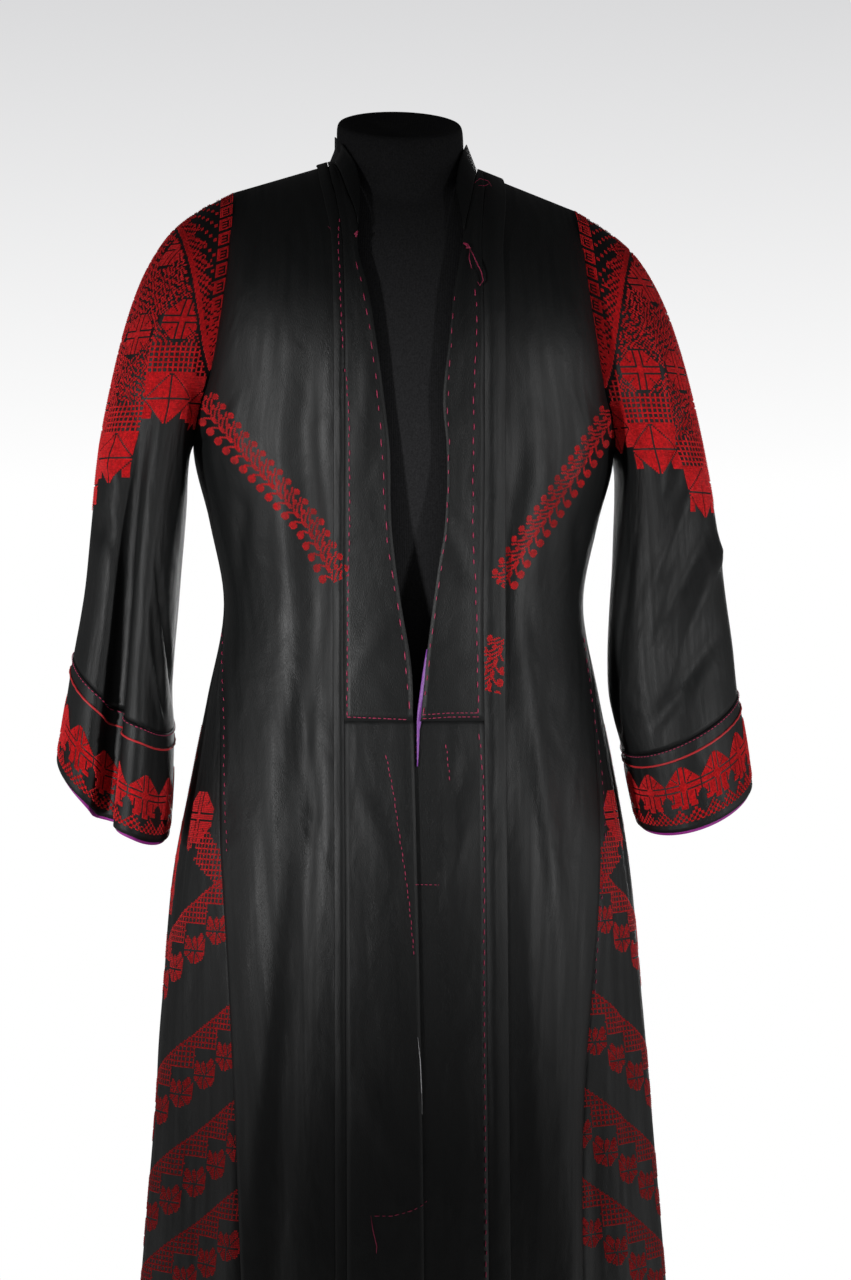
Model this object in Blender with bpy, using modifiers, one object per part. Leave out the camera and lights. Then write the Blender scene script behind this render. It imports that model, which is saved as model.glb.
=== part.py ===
"""Palestinian thobe, an open-fronted black satin dress, worn by a limbless dress form on a stand.

Metres, +Z up. The front faces -Y and the wearer's left is at +X. The origin is on the floor, at the
middle of the stand's underside. Heights on the body are nominal: the shoulders slope down from them.
"""
import math
from collections import namedtuple

import bmesh
import bpy
import numpy as np

CLOTH = 0.0012              # wall of one layer of satin, with its lining
SEAM_GAP = 0.0004           # clear space between two pieces at a seam
LAYER = CLOTH + SEAM_GAP    # distance between two layers that lie on each other

HEM_HEIGHT = 0.035
WAIST_SEAM_HEIGHT = 0.911
GORE_TIP_HEIGHT = 1.046
UNDERARM_HEIGHT = 1.160
YOKE_HEIGHT = 1.220         # above this the chest and back curve in to the shoulder seam
RIDGE_HEIGHT = 1.416        # the shoulder seam where it meets the neck
RIDGE_CLEARANCE = 0.0006    # how far front and back stop short of each other at the shoulder seam
YOKE_ROUNDNESS = 1.15
ARMHOLE_HALF_DEPTH = 0.062
SHOULDER_SLOPE = 0.34
NECK_HOLE_RADIUS = 0.0675
LEAN_PER_METRE = 0.042      # the wearer's left shoulder sits lower by this much for each metre out
LEAN_START, LEAN_FULL = 1.00, 1.30

BAND_OUTER = 0.0620         # x of the stitched line along each front band
BAND_FLARE = 0.0080         # how much further out that line reaches at the shoulder
OVERLAP_INNER = -0.020      # x of the hidden edge of the lower left band, under the right one
NECK_BAND_WIDTH = 0.023
NECK_BAND_RADIUS = 0.0640   # the band closes in on the neck no further than this
FACING_SHOWS = 0.0025       # how far the magenta facing drops below a cuff
FACING_DEPTH = 0.0120       # how far it goes up inside

FORM_BOTTOM_HEIGHT = 0.740
NECK_RADIUS = 0.0580
NECK_TOP_HEIGHT = 1.452
NECK_CAP_TILT = math.radians(20)
NECK_DISH = 0.004
POLE_RADIUS = 0.0125
BASE_RADIUS = 0.190
BASE_THICKNESS = 0.014

Section = namedtuple("Section", "height half_width front_depth back_depth")
BODY_SECTIONS = [
    Section(0.035, 0.264, 0.205, 0.215),
    Section(0.250, 0.248, 0.190, 0.200),
    Section(0.500, 0.230, 0.172, 0.181),
    Section(0.652, 0.219, 0.160, 0.168),
    Section(0.790, 0.206, 0.150, 0.156),
    Section(0.870, 0.192, 0.142, 0.146),
    Section(0.930, 0.180, 0.134, 0.132),
    Section(1.020, 0.165, 0.128, 0.113),
    Section(1.090, 0.178, 0.134, 0.115),
    Section(1.160, 0.193, 0.139, 0.120),
    Section(1.220, 0.179, 0.137, 0.122),
    Section(1.280, 0.170, 0.137, 0.122),
    Section(1.340, 0.163, 0.137, 0.122),
    Section(1.416, 0.158, 0.137, 0.122),
]
FORM_SECTIONS = [
    Section(FORM_BOTTOM_HEIGHT, 0.140, 0.100, 0.108),
    Section(0.800, 0.158, 0.112, 0.124),
    Section(0.880, 0.154, 0.112, 0.120),
    Section(0.960, 0.136, 0.106, 0.101),
    Section(1.020, 0.128, 0.106, 0.096),
    Section(1.090, 0.138, 0.117, 0.101),
    Section(1.160, 0.152, 0.129, 0.108),
    Section(1.220, 0.160, 0.127, 0.108),
    Section(1.340, 0.154, 0.124, 0.104),
    Section(1.416, 0.136, 0.120, 0.100),
]

Seam = namedtuple("Seam", "height degrees")
GORE_SEAM = [               # where a gore starts, measured round the body from the front or the back
    Seam(0.035, 33.0),
    Seam(0.399, 39.0),
    Seam(0.560, 43.5),
    Seam(0.664, 48.5),
    Seam(0.790, 56.5),
    Seam(0.909, 67.5),
    Seam(0.974, 79.0),
    Seam(1.040, 88.6),
    Seam(1.070, 90.0),
    Seam(1.416, 90.0),
]

Edge = namedtuple("Edge", "height right left")
OPENING_EDGES = [           # x of the open front's two edges, on the wearer's right and left
    Edge(0.911, -0.0018, 0.0046),
    Edge(0.945, -0.0018, 0.0085),
    Edge(0.974, -0.0046, 0.0115),
    Edge(1.005, -0.0100, 0.0155),
    Edge(1.042, -0.0156, 0.0205),
    Edge(1.081, -0.0202, 0.0262),
    Edge(1.158, -0.0230, 0.0276),
    Edge(1.191, -0.0267, 0.0246),
    Edge(1.246, -0.0340, 0.0300),
    Edge(1.296, -0.0414, 0.0360),
    Edge(1.330, -0.0490, 0.0430),
    Edge(1.356, -0.0480, 0.0480),
    Edge(1.385, -0.0565, 0.0565),
    Edge(1.405, -0.0625, 0.0625),
    Edge(1.416, -0.0675, 0.0675),
]

Lap = namedtuple("Lap", "height edge")
LAP_EDGE = [                # x of the free edge of the lower right band, which lies on top
    Lap(0.035, 0.0060),
    Lap(0.400, 0.0050),
    Lap(0.600, 0.0035),
    Lap(0.760, 0.0010),
    Lap(0.911, -0.0018),
]

Fold = namedtuple("Fold", "degrees width depth top full")
BODY_FOLDS = [              # soft ridges and troughs, round the body from the front to the wearer's left
    Fold(-56, 7, -0.006, 0.98, 0.50),
    Fold(-41, 6, 0.006, 1.02, 0.45),
    Fold(-33, 4, -0.005, 1.30, 1.10),
    Fold(34, 5, 0.005, 1.28, 1.05),
    Fold(45, 6, -0.006, 0.98, 0.45),
    Fold(-78, 9, 0.008, 0.86, 0.30),
    Fold(-101, 8, -0.009, 0.88, 0.30),
    Fold(74, 8, 0.007, 0.86, 0.30),
    Fold(96, 9, -0.009, 0.90, 0.30),
    Fold(-124, 9, 0.012, 0.98, 0.35),
    Fold(-146, 9, -0.011, 1.00, 0.35),
    Fold(-166, 8, 0.011, 1.02, 0.40),
    Fold(122, 8, 0.011, 0.96, 0.35),
    Fold(143, 9, -0.012, 1.00, 0.35),
    Fold(164, 9, 0.010, 1.00, 0.40),
]

Pleat = namedtuple("Pleat", "side fold_edge hidden_turn")
PLEATS = [                  # knife pleat beside each band: x of its outer fold and of its hidden one
    Pleat("right", 0.0715, 0.0655),
    Pleat("left", 0.0815, 0.0665),
]

Ring = namedtuple("Ring", "outer_x outer_z inner_x inner_z half_depth middle_y pitch crease")
SLEEVE_RINGS = {            # a sleeve from its second ring to its hem, as if both were at +X
    "left": [
        Ring(0.1870, 1.3680, 0.1960, 1.1480, 0.066, 0.000, 0.00, 0.000),
        Ring(0.2140, 1.3450, 0.1980, 1.1300, 0.069, 0.000, 0.00, 0.000),
        Ring(0.2360, 1.3100, 0.1970, 1.1050, 0.070, 0.000, 0.00, 0.000),
        Ring(0.2520, 1.2680, 0.1950, 1.0780, 0.069, -0.002, 0.02, 0.000),
        Ring(0.2660, 1.2150, 0.1930, 1.0450, 0.067, -0.005, 0.04, 0.000),
        Ring(0.2790, 1.1500, 0.1900, 1.0080, 0.066, -0.008, 0.08, 0.000),
        Ring(0.2890, 1.0850, 0.1880, 0.9700, 0.066, -0.010, 0.12, 0.000),
        Ring(0.2960, 1.0250, 0.1885, 0.9350, 0.067, -0.012, 0.16, 0.000),
        Ring(0.3020, 0.9800, 0.1930, 0.9100, 0.068, -0.014, 0.20, 0.000),
        Ring(0.3060, 0.9380, 0.2000, 0.8830, 0.070, -0.016, 0.24, 0.000),
        Ring(0.3130, 0.8980, 0.2060, 0.8510, 0.071, -0.017, 0.26, 0.000),
        Ring(0.3190, 0.8560, 0.2130, 0.8170, 0.072, -0.018, 0.28, 0.000),
    ],
    "right": [
        Ring(0.1870, 1.3680, 0.1960, 1.1480, 0.066, 0.000, 0.00, 0.000),
        Ring(0.2140, 1.3450, 0.1980, 1.1300, 0.069, 0.000, 0.00, 0.000),
        Ring(0.2360, 1.3100, 0.1990, 1.1050, 0.070, 0.000, 0.00, 0.000),
        Ring(0.2520, 1.2680, 0.2010, 1.0780, 0.069, -0.002, 0.02, 0.002),
        Ring(0.2660, 1.2150, 0.2040, 1.0450, 0.067, -0.005, 0.06, 0.006),
        Ring(0.2790, 1.1500, 0.2070, 1.0080, 0.066, -0.008, 0.12, 0.012),
        Ring(0.2860, 1.0850, 0.2100, 0.9750, 0.066, -0.010, 0.18, 0.017),
        Ring(0.2910, 1.0350, 0.2120, 0.9450, 0.067, -0.010, 0.24, 0.020),
        Ring(0.2960, 1.0020, 0.2120, 0.9260, 0.068, -0.010, 0.28, 0.023),
        Ring(0.3020, 0.9690, 0.2110, 0.9060, 0.070, -0.010, 0.32, 0.026),
        Ring(0.3090, 0.9230, 0.2120, 0.8570, 0.071, -0.010, 0.34, 0.028),
        Ring(0.3170, 0.8760, 0.2150, 0.8100, 0.072, -0.010, 0.36, 0.030),
    ],
}
CUFF_FROM = 10              # index of the ring where the cuff is sewn on
CREASE_AT, CREASE_WIDTH = math.radians(76), math.radians(20)
SLEEVE_COLUMNS = 24


def smoothstep(low, high, value):
    """Ease from 0 at low to 1 at high."""
    t = np.clip((np.asarray(value, float) - low) / (high - low), 0.0, 1.0)
    return t * t * (3.0 - 2.0 * t)


def curve_through(keys, values):
    """Smooth curve through a table's points, as a function of the key."""
    keys = np.array(keys, float)
    values = np.array(values, float)
    slopes = np.gradient(values, keys)

    def at(key):
        key = np.clip(key, keys[0], keys[-1])
        i = np.clip(np.searchsorted(keys, key, side="right") - 1, 0, len(keys) - 2)
        step = keys[i + 1] - keys[i]
        t = (key - keys[i]) / step
        start = (1 + 2 * t) * (1 - t) ** 2 * values[i] + t * (1 - t) ** 2 * step * slopes[i]
        end = t * t * (3 - 2 * t) * values[i + 1] + t * t * (t - 1) * step * slopes[i + 1]
        return start + end

    return at


def column(rows, name, key="height"):
    """Smooth curve of one named column of a table over its height."""
    return curve_through([getattr(row, key) for row in rows], [getattr(row, name) for row in rows])


gore_degrees = column(GORE_SEAM, "degrees")
opening_right = column(OPENING_EDGES, "right")
opening_left = column(OPENING_EDGES, "left")
lap_edge = column(LAP_EDGE, "edge")


def seam_degrees(height):
    """Angle of the seam between a front and its gore, or at the side above the gore."""
    return np.minimum(gore_degrees(height), 90.0)


def level_of(height, ridge=RIDGE_HEIGHT):
    """Level of a nominal height: even steps of level are even steps round the shoulder's curve."""
    rise = ridge - YOKE_HEIGHT
    share = np.clip((np.asarray(height, float) - YOKE_HEIGHT) / rise, 0.0, 1.0)
    return np.where(height <= YOKE_HEIGHT, height, YOKE_HEIGHT + rise * np.arcsin(share) * 2 / math.pi)


def height_of(level, ridge=RIDGE_HEIGHT):
    """Nominal height of a level, the inverse of level_of."""
    rise = ridge - YOKE_HEIGHT
    turn = np.clip((np.asarray(level, float) - YOKE_HEIGHT) / rise, 0.0, 1.0) * math.pi / 2
    return np.where(level <= YOKE_HEIGHT, level, YOKE_HEIGHT + rise * np.sin(turn))


def armhole_half_depth(height):
    """Half of the armhole's front-to-back opening at a nominal height, 0 below the underarm."""
    middle = (UNDERARM_HEIGHT + RIDGE_HEIGHT) / 2
    reach = (RIDGE_HEIGHT - UNDERARM_HEIGHT) / 2
    inside = 1.0 - ((height - middle) / reach) ** 2
    return ARMHOLE_HALF_DEPTH * np.sqrt(np.clip(inside, 0.0, None))


def shoulder_drop(x, height):
    """How far a point hangs below its nominal height because the shoulders slope."""
    out = np.clip(np.abs(x) - NECK_HOLE_RADIUS, 0.0, None)
    return SHOULDER_SLOPE * out * smoothstep(1.16, RIDGE_HEIGHT, height)


def lean(points):
    """Tilt the shoulders: the wearer's left one is lower."""
    points = np.array(points, float)
    share = smoothstep(LEAN_START, LEAN_FULL, points[..., 2])
    points[..., 2] -= LEAN_PER_METRE * points[..., 0] * share
    return points


def drape(angle, height):
    """Outward push of the soft folds at an angle round the body."""
    push = np.zeros(np.broadcast(angle, height).shape)
    for fold in BODY_FOLDS:
        away = np.degrees(angle) - fold.degrees
        away = (away + 180.0) % 360.0 - 180.0
        fade = 1.0 - smoothstep(fold.full, fold.top, height)
        push = push + fold.depth * np.exp(-(away / fold.width) ** 2) * fade
    return push


class Torso:
    """A body of sections: a point on it is found from a level and an angle round from the front."""

    def __init__(self, sections, ridge, has_armholes, has_folds):
        self.half_width = column(sections, "half_width")
        self.front_depth = column(sections, "front_depth")
        self.back_depth = column(sections, "back_depth")
        self.ridge = ridge
        self.has_armholes = has_armholes
        self.has_folds = has_folds

    def unleaned(self, level, angle):
        level, angle = np.broadcast_arrays(np.asarray(level, float), np.asarray(angle, float))
        height = height_of(level, self.ridge)
        width = self.half_width(height)
        depth = np.where(np.cos(angle) >= 0, self.front_depth(height), self.back_depth(height))
        turn = np.clip((level - YOKE_HEIGHT) / (self.ridge - YOKE_HEIGHT), 0.0, 1.0) * math.pi / 2
        depth = depth * np.clip(np.cos(turn), 0.0, 1.0) ** YOKE_ROUNDNESS
        edge = np.zeros_like(width)
        if self.has_armholes:
            edge = np.minimum(armhole_half_depth(height), depth)
        push = drape(angle, height) if self.has_folds else 0.0
        x = (width + push) * np.sin(angle)
        y = -np.sign(np.cos(angle)) * (edge + (depth - edge) * np.abs(np.cos(angle)))
        y = y - push * np.cos(angle)
        z = height - shoulder_drop(x, height)
        return np.stack([x, y, z], axis=-1)

    def at(self, level, angle, outward=0.0):
        """Points on the body, moved outward along its normals."""
        step = 0.0005
        top = np.minimum(level + step, self.ridge)
        up = self.unleaned(top, angle) - self.unleaned(top - 2 * step, angle)
        round_ = self.unleaned(level, angle + step) - self.unleaned(level, angle - step)
        normal = np.cross(round_, up)
        length = np.linalg.norm(normal, axis=-1, keepdims=True)
        normal = normal / np.where(length > 0, length, 1.0)
        points = self.unleaned(level, angle) + normal * np.asarray(outward)[..., None]
        return lean(points)

    def angle_at(self, level, x):
        """Angle on the front where the body is x from its middle."""
        return np.arcsin(np.clip(x / self.half_width(height_of(level, self.ridge)), -1.0, 1.0))


body = Torso(BODY_SECTIONS, RIDGE_HEIGHT, has_armholes=True, has_folds=True)
form = Torso(FORM_SECTIONS, RIDGE_HEIGHT - CLOTH / 2 - 2 * SEAM_GAP, has_armholes=False, has_folds=False)


def lift(level):
    """Raise the pleats and bands near the shoulder, where their layers lie on top of the form."""
    return 2 * LAYER * smoothstep(1.28, 1.37, level)


def band_outer(height):
    """x of the stitched line at a height: it flares out to the shoulder."""
    return BAND_OUTER + BAND_FLARE * smoothstep(1.33, RIDGE_HEIGHT, height)


def armhole_heights(rows):
    """Nominal heights up the armhole, closer together at its two ends."""
    turns = np.linspace(math.pi, 0.0, rows)
    middle = (UNDERARM_HEIGHT + RIDGE_HEIGHT) / 2
    return middle + (RIDGE_HEIGHT - UNDERARM_HEIGHT) / 2 * np.cos(turns)


SKIRT_HEIGHTS = np.array([HEM_HEIGHT, 0.15, 0.27, 0.39, 0.50, 0.60, 0.70, 0.79, 0.86, 0.92, 0.975])
WAIST_HEIGHTS = np.array([1.02, 1.055, 1.09, 1.125])
ARMHOLE_ROWS = 9


def make_material(name, colour, roughness, metallic=0.0):
    """Plain Principled material, in linear colour."""
    material = bpy.data.materials.new(name)
    material.use_nodes = True
    shader = material.node_tree.nodes["Principled BSDF"]
    shader.inputs["Base Color"].default_value = (*colour, 1.0)
    shader.inputs["Roughness"].default_value = roughness
    shader.inputs["Metallic"].default_value = metallic
    material.diffuse_color = (*colour, 1.0)
    return material


def add_object(name, mesh, material, collection):
    """Put a mesh in the scene as a named piece with its material."""
    mesh.materials.append(material)
    piece = bpy.data.objects.new(name, mesh)
    collection.objects.link(piece)
    return piece


def grid_mesh(name, points, closed=False):
    """Open surface through a grid of points, rows upward and columns to the wearer's left."""
    rows, columns = points.shape[:2]
    vertices = [tuple(point) for point in points.reshape(-1, 3)]
    faces = []
    for row in range(rows - 1):
        for col in range(columns if closed else columns - 1):
            across = (col + 1) % columns
            here, beside = row * columns + col, row * columns + across
            faces.append((here, beside, beside + columns, here + columns))
    mesh = bpy.data.meshes.new(name)
    mesh.from_pydata(vertices, [], faces)
    mesh.shade_smooth()
    return mesh


def add_cloth(name, points, material, collection, closed=False, offset=0.0):
    """A piece of cloth: a surface with the wall grown from it by Solidify."""
    piece = add_object(name, grid_mesh(name, points, closed), material, collection)
    wall = piece.modifiers.new("cloth wall", "SOLIDIFY")
    wall.thickness = CLOTH
    wall.offset = offset
    wall.use_even_offset = True
    return piece


def pleat_profile(pleat):
    """The knife pleat in cross-section: x and layers outward, from the stitched line to the panel."""
    turn = LAYER / 2
    steps = np.linspace(-math.pi / 2, math.pi / 2, 4)
    start = BAND_OUTER + SEAM_GAP / 2
    xs = [start, (start + pleat.fold_edge) / 2]
    layers = [0.0, 0.0]
    for step in steps:
        xs.append(pleat.fold_edge - turn + turn * math.cos(step))
        layers.append(-0.5 - 0.5 * math.sin(step))
    for step in steps:
        xs.append(pleat.hidden_turn + turn - turn * math.cos(step))
        layers.append(-1.5 - 0.5 * math.sin(step))
    return np.array(xs), np.array(layers)


def add_front_panel(pleat, material, collection):
    """Front of one side: its pleat, then the panel out to the side seam and the armhole."""
    sign = 1.0 if pleat.side == "left" else -1.0
    heights = np.concatenate([SKIRT_HEIGHTS, WAIST_HEIGHTS, armhole_heights(ARMHOLE_ROWS)])
    levels = level_of(heights)
    levels[-1] -= RIDGE_CLEARANCE
    heights = height_of(levels)
    pleat_x, pleat_layers = pleat_profile(pleat)
    shares = np.array([0.10, 0.24, 0.42, 0.62, 0.82, 1.0])
    rows = []
    for level, height in zip(levels, heights):
        inner = body.angle_at(level, pleat_x + band_outer(height) - BAND_OUTER)
        last = math.radians(seam_degrees(height)) - SEAM_GAP / 2 / body.half_width(height)
        outer = inner[-1] + (last - inner[-1]) * shares
        angles = np.concatenate([inner, outer])
        settle = 1.0 - smoothstep(0.0, 0.45, shares)
        layers = np.concatenate([pleat_layers, -2.0 * settle])
        outward = layers * LAYER + lift(level) * np.concatenate([np.ones(len(inner)), settle])
        rows.append(body.at(level, sign * angles, outward))
    grid = np.array(rows)
    if sign < 0:
        grid = grid[:, ::-1]
    add_cloth("front_panel_" + pleat.side, grid, material, collection)


NECK_HOLE_DEGREES = [0.0, 9.0, 16.0, 20.5, 23.4, 25.2]


def mirrored(half):
    """Places on one side of the middle, repeated on the other."""
    return np.array([-place for place in half[:0:-1]] + half)


def neck_level(angle):
    """Level where the back meets the round neck hole, or the shoulder seam beyond it."""
    top = RIDGE_HEIGHT - RIDGE_CLEARANCE
    low, high = YOKE_HEIGHT, top
    if np.hypot(*body.unleaned(top, angle)[:2]) >= NECK_HOLE_RADIUS:
        return top
    for _ in range(30):
        middle = (low + high) / 2
        if np.hypot(*body.unleaned(middle, angle)[:2]) > NECK_HOLE_RADIUS:
            low = middle
        else:
            high = middle
    return low


def add_back_panel(material, collection):
    """The back in one width, from the right side seam round to the left one."""
    places = mirrored(NECK_HOLE_DEGREES + [36.0, 50.0, 63.0, 77.0, 90.0])
    top_angles = math.pi + np.radians(places)
    tops = np.array([neck_level(angle) for angle in top_angles])
    lower = np.concatenate([SKIRT_HEIGHTS, WAIST_HEIGHTS, [UNDERARM_HEIGHT]])
    upper = level_of(armhole_heights(ARMHOLE_ROWS))[1:]
    rise = (upper - UNDERARM_HEIGHT) / (RIDGE_HEIGHT - UNDERARM_HEIGHT)
    rows = []
    for height in lower:
        reach = math.radians(seam_degrees(height)) - SEAM_GAP / 2 / body.half_width(height)
        rows.append(body.at(np.full(len(places), height), math.pi + reach * places / 90.0))
    for share in rise:
        levels = UNDERARM_HEIGHT + (tops - UNDERARM_HEIGHT) * share
        reach = math.pi / 2 - SEAM_GAP / 2 / body.half_width(1.3)
        rows.append(body.at(levels, math.pi + reach * places / 90.0))
    add_cloth("back_panel", np.array(rows), material, collection)


def add_side_gore(side, material, collection):
    """Flared gore let in between front and back from the waist down."""
    sign = 1.0 if side == "left" else -1.0
    heights = np.append(SKIRT_HEIGHTS, [1.02, GORE_TIP_HEIGHT])
    shares = np.linspace(0.0, 1.0, 8)
    rows = []
    for height in heights:
        start = math.radians(seam_degrees(height)) + SEAM_GAP / 2 / body.half_width(height)
        angles = start + (math.pi - 2 * start) * shares
        rows.append(body.at(np.full(len(shares), height), sign * angles))
    grid = np.array(rows)
    if sign < 0:
        grid = grid[:, ::-1]
    add_cloth("side_gore_" + side, grid, material, collection)


def add_upper_band(side, material, collection):
    """Band along the open front, from the neck to the waist seam."""
    sign = 1.0 if side == "left" else -1.0
    edge = opening_left if side == "left" else opening_right
    heights = np.array([WAIST_SEAM_HEIGHT + SEAM_GAP, 0.94, 0.97, 1.0, 1.04, 1.08, 1.12, 1.16, 1.20, 1.24,
                        1.28, 1.315, 1.345, 1.370, 1.392, 1.405])
    levels = level_of(heights)
    shares = np.linspace(0.0, 1.0, 5)
    rows = []
    for level, height in zip(levels, heights):
        inner = sign * edge(height)
        across = inner + (band_outer(height) - SEAM_GAP / 2 - inner) * shares
        angles = sign * body.angle_at(level, across)
        rows.append(body.at(np.full(len(shares), level), angles, np.full(len(shares), lift(level))))
    grid = np.array(rows)
    if sign < 0:
        grid = grid[:, ::-1]
    add_cloth("front_band_upper_" + side, grid, material, collection)


def add_lower_band(side, material, collection):
    """Band below the waist seam: the right one laps over the left one."""
    heights = np.array([HEM_HEIGHT, 0.16, 0.28, 0.40, 0.50, 0.60, 0.69, 0.77, 0.84,
                        WAIST_SEAM_HEIGHT - SEAM_GAP])
    shares = np.linspace(0.0, 1.0, 7)
    outer = BAND_OUTER - SEAM_GAP / 2
    rows = []
    for height in heights:
        if side == "right":
            across = -outer + (lap_edge(height) + outer) * shares
            layers = np.zeros(len(shares))
        else:
            across = OVERLAP_INNER + (outer - OVERLAP_INNER) * shares
            layers = -2.0 * (1.0 - smoothstep(0.014, 0.040, across))
        angles = body.angle_at(height, across)
        rows.append(body.at(np.full(len(shares), height), angles, layers * LAYER))
    add_cloth("front_band_lower_" + side, np.array(rows), material, collection)


def add_opening_facing(material, collection):
    """Strip of purple lining that shows along the foot of the opening."""
    heights = np.array([0.872, 0.895, 0.915, 0.935, 0.955, 0.975])
    starts = np.array([0.0014, 0.0016, 0.0020, 0.0045, 0.0075, 0.0108])
    rows = []
    for height, start in zip(heights, starts):
        across = start + np.array([0.0, 0.0035, 0.0070])
        angles = body.angle_at(height, across)
        rows.append(body.at(np.full(3, height), angles, np.full(3, -LAYER)))
    add_cloth("opening_facing", np.array(rows), material, collection)


def neck_seam_points():
    """The neck seam from the wearer's right front end, round the back, to the left front end."""
    front_heights = np.array([1.350, 1.372, 1.392, 1.407])
    right, left = [], []
    for height in front_heights:
        level = level_of(height)
        for edge, half in ((opening_right, right), (opening_left, left)):
            half.append(body.at(level, body.angle_at(level, edge(height)), lift(level) + LAYER))
    turns = [math.pi - math.radians(place) for place in mirrored(NECK_HOLE_DEGREES)]
    back = [body.at(neck_level(turn), turn, LAYER + lift(RIDGE_HEIGHT) * abs(math.sin(turn)) / 0.42)
            for turn in turns]
    return np.array(right + back + left[::-1])


def add_neck_band(material, collection):
    """Low standing band: it rises from the neck seam and closes in on the neck."""
    seam = neck_seam_points()
    rise = np.array([0.0, 0.5, 1.0]) * NECK_BAND_WIDTH
    front_share = smoothstep(0.0, -0.090, seam[:, 1])
    middle = np.array([-0.002, -0.004])
    rows = []
    for step in rise:
        row = seam.copy()
        radial = seam[:, :2] - middle
        length = np.linalg.norm(radial, axis=1, keepdims=True)
        inward = step * (0.10 + 0.80 * front_share)[:, None]
        row[:, :2] = middle + radial / length * np.maximum(length - inward, NECK_BAND_RADIUS)
        row[:, 2] += step * (0.98 - 0.45 * front_share)
        rows.append(row)
    add_cloth("neck_band", np.array(rows), material, collection)


def armhole_ring(turns):
    """The armhole's edge at each turn from the top towards the front, at +X before the lean."""
    middle = (UNDERARM_HEIGHT + RIDGE_HEIGHT) / 2
    reach = (RIDGE_HEIGHT - UNDERARM_HEIGHT) / 2
    height = middle + reach * np.cos(turns)
    x = body.half_width(height)
    z = height - shoulder_drop(x, height)
    return np.stack([x + CLOTH / 2 + 2 * SEAM_GAP, -ARMHOLE_HALF_DEPTH * np.sin(turns), z], axis=-1)


def sleeve_rings(side):
    """Every ring of a sleeve, from the armhole to the hem, with the long crease in the right one."""
    turns = np.arange(SLEEVE_COLUMNS) * 2 * math.pi / SLEEVE_COLUMNS
    rings = [armhole_ring(turns)]
    for ring in SLEEVE_RINGS[side]:
        outer, inner = np.array([ring.outer_x, ring.outer_z]), np.array([ring.inner_x, ring.inner_z])
        away = np.abs((turns - CREASE_AT + math.pi) % (2 * math.pi) - math.pi)
        radius = 1.0 - ring.crease / ring.half_depth * np.exp(-(away / CREASE_WIDTH) ** 2)
        centre, arm = (outer + inner) / 2, (outer - inner) / 2
        x = centre[0] + arm[0] * np.cos(turns) * radius
        y = ring.middle_y - ring.half_depth * np.sin(turns) * radius
        z = centre[1] + arm[1] * np.cos(turns) * radius - ring.pitch * ring.half_depth * np.sin(turns)
        rings.append(np.stack([x, y, z], axis=-1))
    rings = np.array(rings)
    if side == "right":
        rings[..., 0] *= -1.0
    return lean(rings)


def ring_normals(rings):
    """Outward directions across a tube of rings."""
    round_ = np.roll(rings, -1, axis=1) - np.roll(rings, 1, axis=1)
    along = np.gradient(rings, axis=0)
    normal = np.cross(round_, along)
    normal /= np.linalg.norm(normal, axis=-1, keepdims=True)
    middles = rings.mean(axis=1, keepdims=True)
    facing = np.sign(np.sum(normal * (rings - middles), axis=-1).mean())
    return normal * facing


def orient_tube(rings, side):
    """Order a tube's rings so that its faces point out."""
    rings = rings[::-1]
    return rings[:, ::-1] if side == "left" else rings


def add_sleeve(side, satin, magenta, collection):
    """Sleeve, cuff and the cuff's facing, all along one tube."""
    rings = sleeve_rings(side)
    normals = ring_normals(rings)
    along = np.gradient(rings, axis=0)
    along /= np.linalg.norm(along, axis=-1, keepdims=True)
    sleeve = rings[:CUFF_FROM + 1].copy()
    sleeve[-1] -= along[CUFF_FROM] * SEAM_GAP
    add_cloth("sleeve_" + side, orient_tube(sleeve, side), satin, collection, closed=True, offset=-1.0)
    cuff = rings[CUFF_FROM:] + normals[CUFF_FROM:] * SEAM_GAP
    add_cloth("cuff_" + side, orient_tube(cuff, side), satin, collection, closed=True, offset=-1.0)
    inset = LAYER + (SEAM_GAP if side == "right" else 0.0)
    inside = rings - normals * inset
    drop = inside[-1] - inside[-2]
    drop = drop / np.linalg.norm(drop, axis=-1, keepdims=True)
    start, end = inside[-1] - drop * FACING_DEPTH, inside[-1] + drop * FACING_SHOWS
    facing = np.array([start, (start + end) / 2, end])
    add_cloth("cuff_facing_" + side, orient_tube(facing, side), magenta, collection, closed=True,
              offset=-1.0)


def closed_rings_mesh(name, rings):
    """Solid through a stack of rings, closed by a flat face at each end."""
    mesh = grid_mesh(name, rings, closed=True)
    solid = bmesh.new()
    solid.from_mesh(mesh)
    bmesh.ops.holes_fill(solid, edges=[edge for edge in solid.edges if edge.is_boundary], sides=0)
    bmesh.ops.recalc_face_normals(solid, faces=solid.faces)
    bmesh.ops.triangulate(solid, faces=[face for face in solid.faces if len(face.verts) > 4])
    solid.to_mesh(mesh)
    solid.free()
    return mesh


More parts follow.
